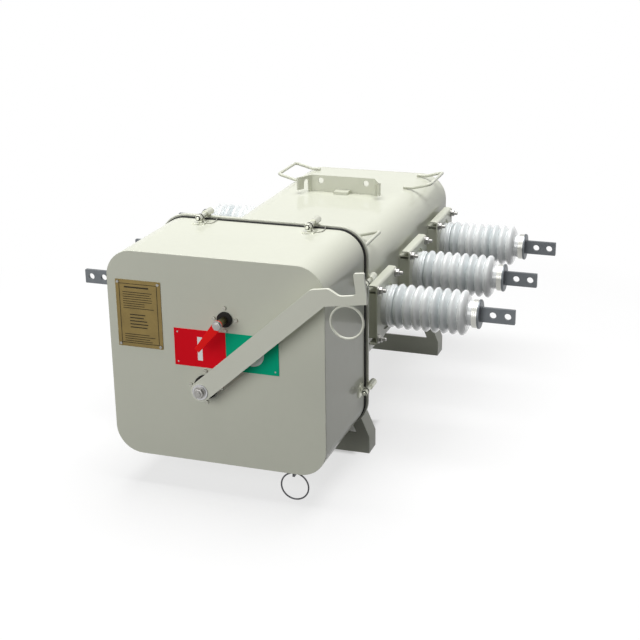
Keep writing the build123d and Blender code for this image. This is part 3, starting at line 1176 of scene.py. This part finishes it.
class ShedRule:
    """Geometry Nodes tree that turns an insulator by its rule: root, ribs, sheds, neck."""

    ROWS = 300
    SIDES = 72
    SHARP_ANGLE = 60.0

    def __init__(self) -> None:
        """Build the tree."""
        self.tree = Recipe("shed_rule", {
            "Root Radius": 47.0 * MM, "Root Length": 26.0 * MM, "Rib Radius": 50.0 * MM, "Rib Width": 6.5 * MM,
            "Rib Count": 2.0, "Rib Gap": 2.0 * MM,
            "Shed Radius": 52.5 * MM, "Core Radius": 39.0 * MM, "Shed Pitch": 21.3 * MM, "Shed Count": 8.0,
            "Neck Radius": 29.0 * MM, "Neck Length": 11.0 * MM, "Fullness": 0.38})
        tree = self.tree
        grid = tree.out("GeometryNodeMeshGrid", {}, {"Size X": 1.0, "Size Y": 1.0, "Vertices X": self.ROWS,
                                                     "Vertices Y": self.SIDES + 1})
        spot = tree.put("ShaderNodeSeparateXYZ", {}, {0: tree.out("GeometryNodeInputPosition")})
        along = Sock(tree, spot.outputs["X"]) + 0.5
        turn = (Sock(tree, spot.outputs["Y"]) + 0.5) * math.tau
        row = along * (self.ROWS - 1.0)
        share = ((row - 1.0) / (self.ROWS - 3.0)).held()
        root, pitch = tree.given("Root Length"), tree.given("Shed Pitch")
        run = pitch * tree.given("Shed Count")
        distance = share * (root + run + tree.given("Neck Length"))
        wave = self.wave((distance - root) / pitch) ** tree.given("Fullness")
        core = tree.given("Core Radius")
        sheds = core + (tree.given("Shed Radius") - core) * wave
        rib_width, rib_count = tree.given("Rib Width"), tree.given("Rib Count")
        rib_start = root - rib_width * rib_count - tree.given("Rib Gap")
        rib_place = self.limited((distance - rib_start) / rib_width, rib_count)
        base = tree.given("Root Radius")
        rooted = base + (tree.given("Rib Radius") - base) * self.wave(rib_place)
        on_root, on_neck = distance < root, distance > root + run
        between = (1.0 - on_root) * (1.0 - on_neck)
        radius = rooted * on_root + sheds * between + tree.given("Neck Radius") * on_neck
        closed = radius * (row > 0.5) * (row < self.ROWS - 1.5)
        formed = tree.out("GeometryNodeSetPosition", {}, {
            "Geometry": grid, "Position": tree.vector(distance, closed * turn.cosine(), closed * turn.sine())})
        # Store the share of painted shade for the glaze: none on the crests, most deep between the sheds.
        stained = tree.out("GeometryNodeStoreNamedAttribute", {"data_type": "FLOAT", "domain": "POINT"}, {
            "Geometry": formed, "Name": "valley", "Value": (1.0 - wave) * between})
        tree.close(tree.out("GeometryNodeMergeByDistance", {}, {"Geometry": stained, "Distance": SEAM_GAP}))

    @staticmethod
    def limited(turns: Sock, most: Sock) -> Sock:
        """The turns kept between zero and the most."""
        return (turns / most).held() * most

    @staticmethod
    def wave(turns: Sock) -> Sock:
        """A wave that rises from zero to one and falls again in each turn."""
        return (0.5 - (turns * math.tau).cosine() * 0.5).held()

    def form(self, name: str, node: str, side: Side) -> bpy.types.Mesh:
        """Turn one insulator in the place of a CAD node.

        Args:
            name: Name of the mesh.
            node: CAD node whose place it takes.
            side: Side that it points to.

        Returns:
            The closed mesh.
        """
        mesh = self.tree.run(name, bpy.data.meshes.new(name + "_carrier"), GLAZE)
        turn = Matrix.Rotation(0.0 if side is Side.RIGHT else math.pi, 4, "Z")
        mesh.transform(Matrix.Translation(end_of(node, side)) @ turn)
        return smoothed(mesh, self.SHARP_ANGLE)


@dataclass
class Bushings:
    """Seats, clamp plates, insulators and terminals of both sides."""

    fasteners: FastenerBox
    seat_edge: float = 0.7
    plate_edge: float = 0.9
    terminal_edge: float = 0.8
    bolt_across: float = 70.0
    bolt_up: float = 58.0
    sleeve_inner: float = 31.3
    sleeve_outer: float = 32.4
    sleeve_start: float = 0.2
    sleeve_end: float = 12.9
    sleeve_bands: int = 3
    groove: float = 0.4
    sheds: ShedRule = field(default_factory=ShedRule)

    @staticmethod
    def all_places() -> Iterator[Tuple[Side, Phase]]:
        """Every side with every phase."""
        return ((side, phase) for side in Side for phase in Phase)

    def cap(self, name: str, terminal: str, side: Side) -> bpy.types.Mesh:
        """A bright sleeve with two fine grooves round a terminal's cap.

        Args:
            name: Name of the mesh.
            terminal: CAD node of the terminal.
            side: Side that it points to.

        Returns:
            The closed mesh.
        """
        inner, outer, begin = self.sleeve_inner, self.sleeve_outer, self.sleeve_start
        band = (self.sleeve_end - begin) / self.sleeve_bands
        profile = [(begin, inner)]
        for place in (begin + step * band for step in range(self.sleeve_bands)):
            profile += [(place, outer - self.groove), (place + self.groove, outer),
                        (place + band - self.groove, outer)]
        profile += [(self.sleeve_end, outer - self.groove), (self.sleeve_end, inner), profile[0]]
        return turned_ring(name, profile, end_of(terminal, side), side.outward)

    def build(self) -> None:
        """Dress the bushings and set their corner bolts."""
        places: List[Vector] = []
        axes: List[Vector] = []
        for side in Side:
            dress(f"{side.word}_bushing_seats", f"seats_{side.word}", self.seat_edge, PAINT)
        for side, phase in self.all_places():
            tail = f"{side.word}_{phase.value}"
            plate, insulator, terminal = (f"{kind}_{tail}" for kind in ("clamp_plate", "insulator", "terminal"))
            dress(plate, f"plate_{tail}", self.plate_edge, PAINT)
            finished(f"porcelain_{tail}", self.sheds.form(f"porcelain_{tail}", insulator, side), GLAZE,
                     stands_for=[insulator])
            dress(terminal, f"bar_{tail}", self.terminal_edge, TINNED)
            finished(f"cap_{tail}", self.cap(f"cap_{tail}", terminal, side), CAP_METAL)
            face = end_of(plate, side, outer=True)
            for across in (-self.bolt_across, self.bolt_across):
                for up in (-self.bolt_up, self.bolt_up):
                    places.append(face + Vector((0.0, across * MM, up * MM)))
                    axes.append(side.outward)
        self.fasteners.set(Fasteners.STUD_NUT, "bushing_bolts", places, axes, ZINC)


@dataclass
class Underside:
    """Feet under the tank, and the lug of the trip ring."""

    foot_edge: float = 1.6
    lug_edge: float = 0.8

    def build(self) -> None:
        """Dress the feet in the darker enamel that paints the shade under the tank, and the lug."""
        for node in ("front_foot", "rear_foot"):
            dress(node, node + "_tray", self.foot_edge, SHADED_FOOT_PAINT)
        dress("trip_lug", "trip_eye", self.lug_edge, WIRE)


@dataclass
class TopGear:
    """Hoisting bracket and lifting handles."""

    bracket_edge: float = 0.9
    handle_edge: float = 0.8

    def build(self) -> None:
        """Dress the bracket and the four handles."""
        dress("hoisting_bracket", "hoisting_plate", self.bracket_edge, PAINT)
        for place in ("front", "rear"):
            for side in Side:
                name = f"handle_{place}_{side.word}"
                dress("lifting_" + name, name, self.handle_edge, PAINT)


@dataclass
class CoverClamps:
    """Clamps that draw the housing onto the flange, their nuts with a black ring behind each, and the top ones'
    keepers.
    """

    fasteners: FastenerBox
    edge: float = 0.8
    pad_width: float = 28.0
    barrel_rise: float = 14.0
    nut: StudNut = StudNut(washer_radius=7.0, washer_height=1.5, nut_radius=7.6, nut_height=9.0, stud_radius=4.0,
                           stud_tip=3.5)
    seal_radius: float = 7.7
    seal_height: float = 3.0
    spacing: float = 254.0
    keeper_wire: float = 2.0
    keeper_bends: Tuple[Place, ...] = ((3.0, 241.0, 5.0), (14.0, 238.0, 1.4), (24.0, 242.0, 1.4),
                                       (27.0, 255.0, 1.6), (25.0, 274.0, 3.6), (21.0, 289.0, 1.2))

    def nut_seats(self, place: str) -> List[Vector]:
        """Places on the barrels' lines where the nuts bear.

        Args:
            place: Top, right or left.

        Returns:
            The seats of both clamps there.
        """
        low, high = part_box(f"cover_clamps_{place}")
        rise, half = self.barrel_rise * MM, self.pad_width / 2 * MM
        depth = low.y + (self.nut.nut_height + self.nut.washer_height) * MM
        if place == "top":
            return [Vector((x, depth, low.z + rise)) for x in (low.x + half, high.x - half)]
        side = low.x + rise if place == "right" else high.x - rise
        return [Vector((side, depth, z)) for z in (low.z + half, high.z - half)]

    def build(self) -> None:
        """Dress the clamps of the top and the sides, set their nuts and bend the keepers."""
        seats: List[Vector] = []
        for place in ("top", "right", "left"):
            dress(f"cover_clamps_{place}", f"clamps_{place}", self.edge, CLAMP_ZINC)
            seats += self.nut_seats(place)
        ways = [FORWARD] * len(seats)
        self.fasteners.set(Fasteners.STUD_NUT, "clamp_nuts", seats, ways, CLAMP_ZINC, values=self.nut.values())
        # A black ring sits behind each clamp nut and darkens the ground round it.
        behind = [seat - FORWARD * self.seal_height * MM for seat in seats]
        self.fasteners.set(Fasteners.SEAL, "clamp_seals", behind, ways, BLACK,
                           values={"Radius": self.seal_radius * MM, "Height": self.seal_height * MM})
        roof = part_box("mechanism_housing")[1].z / MM
        for side in Side:
            middle = side.value * self.spacing / 2
            name = f"keeper_{side.word}"
            bends = [at(middle + x, depth, roof + up) for x, depth, up in self.keeper_bends]
            finished(name, bent_wire(name, bends, self.keeper_wire), DULL_ZINC)


class RuledBlock:
    """Geometry Nodes tree for a block of ruled lines of uneven length."""

    def __init__(self) -> None:
        """Build the tree."""
        self.tree = Recipe("ruled_block", {"Width": 40.0 * MM, "Line Height": 1.4 * MM, "Line Depth": 0.5 * MM,
                                           "Pitch": 5.0 * MM, "Count": 5, "Shortest": 0.6, "Seed": 7})
        tree = self.tree
        width = tree.given("Width")
        step = tree.vector(0.0, 0.0, tree.given("Pitch") * -1.0)
        line = tree.out("GeometryNodeMeshLine", {}, {"Count": tree.given("Count"), "Offset": step})
        bar = tree.out("GeometryNodeMeshCube", {}, {
            "Size": tree.vector(width, tree.given("Line Depth"), tree.given("Line Height"))})
        length = tree.out("FunctionNodeRandomValue", {"data_type": "FLOAT"}, {
            2: tree.given("Shortest"), 3: 1.0, "Seed": tree.given("Seed")}, 1)
        rows = tree.out("GeometryNodeInstanceOnPoints", {}, {
            "Points": line, "Instance": tree.moved(bar, x=width / 2), "Scale": tree.vector(length, 1.0, 1.0)})
        tree.close(rows)

    def form(self, name: str, corner: Vector, values: Sizes) -> bpy.types.Mesh:
        """Lines that run down from a corner.

        Args:
            name: Name of the mesh.
            corner: Left end of the first line.
            values: Sizes of the block.

        Returns:
            The mesh in place.
        """
        mesh = self.tree.run(name, bpy.data.meshes.new(name + "_carrier"), INK, values)
        mesh.transform(Matrix.Translation(corner))
        return mesh


@dataclass(frozen=True)
class LineBlock:
    """One block of ruled lines on the nameplate, in millimetres from its upper left corner."""

    label: str
    left: float
    down: float
    width: float
    count: int
    seed: int = 7
    pitch: float = 5.0
    height: float = 1.4

    def values(self) -> Sizes:
        """The named inputs of the tree, lengths in metres."""
        return {"Width": self.width * MM, "Line Height": self.height * MM, "Pitch": self.pitch * MM,
                "Count": self.count, "Seed": self.seed}


@dataclass
class FrontPlates:
    """Nameplate with ruled lines, and the red and green plates with their marks."""

    fasteners: FastenerBox
    edge: float = 0.4
    corner_inset: float = 5.5
    sign_inset: float = 8.0
    border_inset: float = 8.0
    border_width: float = 1.3
    proud: float = 0.25
    bar_size: Tuple[float, float] = (11.0, 52.0)
    bar_edge: float = 0.1
    ring_outer: float = 26.0
    ring_inner: float = 16.0
    screw_radius: float = 3.2
    screw_height: float = 2.0
    blocks: Tuple[LineBlock, ...] = (
        LineBlock("heading", 20.0, 16.0, width=62.0, count=1, height=3.2),
        LineBlock("table", 16.0, 27.0, width=70.0, count=8, seed=3),
        LineBlock("figures", 30.0, 76.0, width=42.0, count=5, seed=11, pitch=7.0, height=2.2),
        LineBlock("footing", 16.0, 120.0, width=70.0, count=4, seed=5),
    )

    @staticmethod
    def corners(node: str, inset: float) -> List[Vector]:
        """Four places on a plate's face, in from its corners.

        Args:
            node: CAD node of the plate.
            inset: Distance from its edges in millimetres.

        Returns:
            The places, left ones first.
        """
        low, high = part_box(node)
        gap = inset * MM
        return [Vector((x, low.y, z)) for x in (low.x + gap, high.x - gap) for z in (low.z + gap, high.z - gap)]

    def border(self) -> bpy.types.Mesh:
        """A thin frame line inside the nameplate's edge.

        Returns:
            The closed mesh.
        """
        low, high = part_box("nameplate")
        shape = bmesh.new()
        rings = []
        for depth in (low.y - self.proud * MM, low.y + self.proud * MM):
            for inset in (self.border_inset, self.border_inset + self.border_width):
                gap = inset * MM
                rings.append([shape.verts.new((x, depth, z)) for x, z in (
                    (low.x + gap, low.z + gap), (high.x - gap, low.z + gap),
                    (high.x - gap, high.z - gap), (low.x + gap, high.z - gap))])
        for first, second in ((0, 1), (1, 3), (3, 2), (2, 0)):
            join_rings(shape, rings[first], rings[second])
        bmesh.ops.recalc_face_normals(shape, faces=shape.faces)
        return mesh_of(shape, "nameplate_border")

    def marks(self) -> None:
        """White bar on the red plate, white ring on the green plate."""
        depth, centre = (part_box("closed_plate")[0].y - FRONT_FACE) / MM, middle_of("closed_plate")
        half_x, half_z = (size / 2 for size in self.bar_size)
        outline = [(centre.x / MM + x * half_x, centre.z / MM + z * half_z)
                   for x, z in ((-1, -1), (1, -1), (1, 1), (-1, 1))]
        bar = prism("closed_mark", outline, depth - self.proud, depth + self.proud, self.bar_edge)
        finished("closed_mark", bar, MARK_WHITE)
        face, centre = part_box("open_plate")[0].y, middle_of("open_plate")
        outer, inner = self.ring_outer, self.ring_inner
        profile = [(-self.proud, inner), (-self.proud, outer), (self.proud, outer), (self.proud, inner),
                   (-self.proud, inner)]
        ring = turned_ring("open_mark", profile, Vector((centre.x, face, centre.z)), FORWARD)
        finished("open_mark", ring, MARK_WHITE)

    def build(self) -> None:
        """Dress the three plates."""
        for node, finish in (("nameplate", BRASS), ("closed_plate", SIGN_RED), ("open_plate", SIGN_GREEN)):
            dress(node, node + "_sheet", self.edge, finish, segments=1)
        finished("nameplate_border", self.border(), INK)
        low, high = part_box("nameplate")
        lines = RuledBlock()
        for block in self.blocks:
            name = f"nameplate_{block.label}"
            corner = Vector((low.x + block.left * MM, low.y, high.z - block.down * MM))
            finished(name, lines.form(name, corner, block.values()), INK)
        self.marks()
        screws = self.corners("nameplate", self.corner_inset)
        self.fasteners.set(Fasteners.PAN_SCREW, "nameplate_screws", screws, [FORWARD] * len(screws), ZINC,
                           values={"Head Radius": self.screw_radius * MM, "Head Height": self.screw_height * MM})
        rivets = self.corners("closed_plate", self.sign_inset)[:2]
        rivets += self.corners("open_plate", self.sign_inset)[2:]
        self.fasteners.set(Fasteners.RIVET, "sign_rivets", rivets, [FORWARD] * len(rivets), ZINC)


@dataclass
class Pointer:
    """Position pointer: collar, olive shaft, red blade and bright end nut."""

    fasteners: FastenerBox
    collar_edge: float = 0.8
    blade_edge: float = 0.5
    screw_ring: float = 24.5
    shaft_radius: float = 7.5
    chamfer: float = 0.8
    shaft_proud: float = 1.0
    nut: StudNut = StudNut(washer_radius=10.6, washer_height=1.0, nut_radius=9.4, nut_height=5.0, stud_radius=5.6,
                           stud_tip=1.0)
    blade_near: float = -41.0
    blade_far: float = -38.0
    blade_length: float = 76.0
    blade_half: float = 10.0
    tip_half: float = 6.0
    eye_radius: float = 10.5
    eye_steps: int = 18
    lean: float = 39.0

    def blade_outline(self, x: float, z: float) -> List[Tuple[float, float]]:
        """Corners of the tapered blade and its round eye.

        Args:
            x: Middle of the eye across.
            z: Middle of the eye up.

        Returns:
            Corners across and up, in order.
        """
        begin = math.acos(self.blade_half / self.eye_radius)
        sweep = math.pi + 2 * begin
        flat = [(-self.tip_half, -self.blade_length), (self.tip_half, -self.blade_length)]
        flat += [(self.eye_radius * math.cos(turn), self.eye_radius * math.sin(turn))
                 for turn in (sweep * step / self.eye_steps - begin for step in range(self.eye_steps + 1))]
        tilt = math.radians(self.lean)
        return [(x + u * math.cos(tilt) + v * math.sin(tilt), z + v * math.cos(tilt) - u * math.sin(tilt))
                for u, v in flat]

    def build(self) -> None:
        """Dress the collar and the pointer."""
        dress("pointer_collar", "pointer_disc", self.collar_edge, BLACK)
        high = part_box("position_pointer")[1]
        middle = middle_of("pointer_collar")
        seat = at(middle.x / MM, self.blade_near, middle.z / MM)
        tip = seat + FORWARD * self.shaft_proud * MM
        profile = rod_profile((high.y - tip.y) / MM, self.shaft_radius, self.chamfer)
        finished("pointer_shaft", turned("pointer_shaft", profile, tip, -FORWARD), SHAFT, Body.POINTER,
                 stands_for=["position_pointer"])
        outline = self.blade_outline(middle.x / MM, middle.z / MM)
        blade = prism("pointer_blade", outline, self.blade_near, self.blade_far, self.blade_edge)
        finished("pointer_blade", blade, POINTER_RED, Body.POINTER)
        self.fasteners.set(Fasteners.STUD_NUT, "pointer_nut", [seat], [FORWARD], ZINC, Body.POINTER,
                           self.nut.values())
        self.fasteners.collar_screws("pointer_screws", "pointer_collar", self.screw_ring)


@dataclass
class Lever:
    """Operating lever with its hooked head and pull ring, its collar, shaft, washers and nut."""

    fasteners: FastenerBox
    arm_edge: float = 1.1
    collar_edge: float = 0.7
    screw_ring: float = 35.0
    chamfer: float = 0.7
    shaft_radius: float = 10.0
    washer_inner: float = 6.3
    washer_outer: float = 17.0
    washer_height: float = 3.0
    nut: StudNut = StudNut(washer_radius=13.0, washer_height=2.5, nut_radius=11.0, nut_height=7.0, stud_radius=6.0,
                           stud_tip=2.5)

    def bolt(self) -> None:
        """Turn the shaft and the washer and set the nut on its lock washer."""
        middle = middle_of("lever_collar")
        face = Vector((middle.x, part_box("operating_lever")[0].y, middle.z))
        run = (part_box("lever_bolt")[1].y - face.y) / MM
        ease, outer, height = self.chamfer, self.washer_outer, self.washer_height
        shaft = rod_profile(run, self.shaft_radius, ease)
        finished("lever_pivot", turned("lever_pivot", shaft, face, -FORWARD), STEEL, Body.LEVER,
                 stands_for=["lever_bolt"])
        washer = [(0.0, self.washer_inner), (0.0, outer - ease), (ease, outer), (height - ease, outer),
                  (height, outer - ease), (height, self.washer_inner), (0.0, self.washer_inner)]
        finished("lever_washer", turned_ring("lever_washer", washer, face, FORWARD), STEEL, Body.LEVER)
        self.fasteners.set(Fasteners.STUD_NUT, "lever_nut", [face + FORWARD * height * MM], [FORWARD], ZINC,
                           Body.LEVER, self.nut.values())

    def build(self) -> None:
        """Dress the collar, the lever and its bolt."""
        dress("lever_collar", "lever_disc", self.collar_edge, BLACK)
        dress("operating_lever", "lever_arm", self.arm_edge, LEVER_PAINT, Body.LEVER)
        self.bolt()
        self.fasteners.collar_screws("lever_screws", "lever_collar", self.screw_ring)


@dataclass
class TripRing:
    """Thin ring that hangs under the housing."""

    wire: float = 3.5

    def build(self) -> None:
        """Bend the ring."""
        low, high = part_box("trip_ring")
        radius = (high.x - low.x) / 2 / MM - self.wire / 2
        ring = hoop("trip_hoop", middle_of("trip_ring"), radius, self.wire)
        finished("trip_hoop", ring, WIRE, Body.TRIP_RING, stands_for=["trip_ring"])


@dataclass
class Lamp:
    """A soft rectangular studio lamp."""

    name: str
    place: Place
    size: Tuple[float, float]
    power: float
    aim: Place = (0.0, 0.0, 0.3)

    def build(self) -> None:
        """Hang the lamp and turn it to its aim."""
        data = bpy.data.lights.new(self.name, "AREA")
        data.shape = "RECTANGLE"
        data.size, data.size_y = self.size
        data.energy = self.power
        lamp = stood(self.name, data)
        lamp.location = self.place
        lamp.rotation_euler = (Vector(self.aim) - Vector(self.place)).to_track_quat("-Z", "Y").to_euler()


@dataclass
class Stage:
    """Pale floor, white surroundings, studio lamps and the camera."""

    floor_half: float = 14.0
    floor_tone: float = 0.90
    floor_cloud: float = 0.02
    floor_grain: float = 3.0
    floor_bounce: float = 0.03
    floor_white: float = 0.70
    shadow_reach: Tuple[float, float] = (0.7, 1.5)
    under_middle: Tuple[float, float] = (0.0, -0.17)
    under_half: Tuple[float, float] = (0.185, 0.07)
    under_edge: float = 0.035
    sky: float = 0.06
    focal_pixels: float = 1312.0
    sensor: float = 36.0
    view_reach: float = 60.0
    azimuth: float = 19.0
    elevation: float = 19.7
    roll: float = -0.7
    camera_place: Place = (1030.5, -2323.8, 1303.4)
    lamps: Tuple[Lamp, ...] = (
        Lamp("key_lamp", (0.0, 0.4, 4.2), (3.4, 3.4), 220.0),
        Lamp("front_lamp", (-1.5, -4.2, 1.7), (4.0, 2.6), 112.0),
    )

    def floor(self) -> None:
        """Lay the floor: shadowed near the object, white further off, darker in what it throws back."""
        mesh = bpy.data.meshes.new("studio_floor")
        half = self.floor_half
        mesh.from_pydata([(-half, -half, 0.0), (half, -half, 0.0), (half, half, 0.0), (-half, half, 0.0)], [],
                         [(0, 1, 2, 3)])
        floor = stood("studio_floor", mesh)
        material = bpy.data.materials.new("pale_floor")
        sheet = ShaderSheet.blank(material)
        grain = sheet.noise(sheet.place(), self.floor_grain)
        bounced = Sock(sheet, sheet.put("ShaderNodeLightPath").outputs["Is Diffuse Ray"])
        pale = sheet.blend(grain, (self.floor_tone,) * 3, (self.floor_tone + self.floor_cloud,) * 3)
        tone = sheet.blend(bounced, pale, (self.floor_bounce,) * 3)
        shade = sheet.out("ShaderNodeBsdfDiffuse", {}, {"Color": tone})
        white = sheet.out("ShaderNodeEmission", {}, {"Color": (1.0, 1.0, 1.0, 1.0), "Strength": 1.0})
        reach = sheet.out("ShaderNodeVectorMath", {"operation": "LENGTH"}, {0: sheet.place()}, "Value")
        near, far = self.shadow_reach
        away = ((reach - near) / (far - near)).held(self.floor_white) * self.beside(sheet) * (1.0 - bounced)
        whole = sheet.out("ShaderNodeMixShader", {}, {0: away, 1: shade, 2: white})
        sheet.put("ShaderNodeOutputMaterial", {}, {"Surface": whole})
        mesh.materials.append(material)

    def beside(self, sheet: ShaderSheet) -> Sock:
        """Zero on the floor under the front foot, where the shadow is kept whole, and one beside it.

        Args:
            sheet: Tree of the material.

        Returns:
            The mask.
        """
        spot = sheet.put("ShaderNodeSeparateXYZ", {}, {0: sheet.place()})
        outside = []
        for axis in (0, 1):
            reach = (Sock(sheet, spot.outputs[axis]) - self.under_middle[axis]) ** 2.0
            outside.append(reach ** 0.5 - self.under_half[axis])
        most = sheet.out("ShaderNodeMath", {"operation": "MAXIMUM"}, dict(enumerate(outside)))
        return (most / self.under_edge).held()

    def surroundings(self) -> None:
        """Set a plain sky that is white to the camera and in reflections."""
        world = bpy.data.worlds.new("studio")
        bpy.context.scene.world = world
        sheet = ShaderSheet.blank(world)
        path = sheet.put("ShaderNodeLightPath")
        camera, glossy, through = (Sock(sheet, path.outputs[f"Is {kind} Ray"])
                                   for kind in ("Camera", "Glossy", "Transmission"))
        strength = self.sky + (camera + glossy + through).held() * (1.0 - self.sky)
        shade = sheet.out("ShaderNodeBackground", {}, {"Color": (1.0, 1.0, 1.0, 1.0), "Strength": strength})
        sheet.put("ShaderNodeOutputWorld", {}, {"Surface": shade})

    def camera(self) -> None:
        """Stand the camera where the photograph was taken from."""
        data = bpy.data.cameras.new("camera")
        data.sensor_width = self.sensor
        data.lens = self.focal_pixels / IMAGE_PIXELS * self.sensor
        data.clip_end = self.view_reach
        azimuth, elevation, roll = (math.radians(v) for v in (self.azimuth, self.elevation, self.roll))
        back = Vector((math.sin(azimuth) * math.cos(elevation), -math.cos(azimuth) * math.cos(elevation),
                       math.sin(elevation)))
        right = Vector((math.cos(azimuth), math.sin(azimuth), 0.0))
        up = right.cross(-back)
        across = math.cos(roll) * right + math.sin(roll) * up
        upright = math.cos(roll) * up - math.sin(roll) * right
        stand = Matrix((across, upright, back)).transposed().to_4x4()
        stand.translation = at(*self.camera_place)
        camera = stood("camera", data)
        camera.matrix_world = stand
        bpy.context.scene.camera = camera

    def build(self) -> None:
        """Set the whole stage."""
        self.floor()
        self.surroundings()
        for lamp in self.lamps:
            lamp.build()
        self.camera()
        bpy.context.scene.view_settings.view_transform = "Standard"


def main() -> None:
    """Build every sub-assembly in order and log each one as it is done."""
    logging.basicConfig(level=logging.INFO, format="%(name)s: %(message)s")
    fasteners = FastenerBox()
    assemblies = (Stage(), Housing(), Tank(), Bushings(fasteners), Underside(), TopGear(), CoverClamps(fasteners),
                  FrontPlates(fasteners), Pointer(fasteners), Lever(fasteners), TripRing())
    for assembly in assemblies:
        assembly.build()
        log.info("%s done", type(assembly).__name__)


if __name__ == "__main__":
    main()
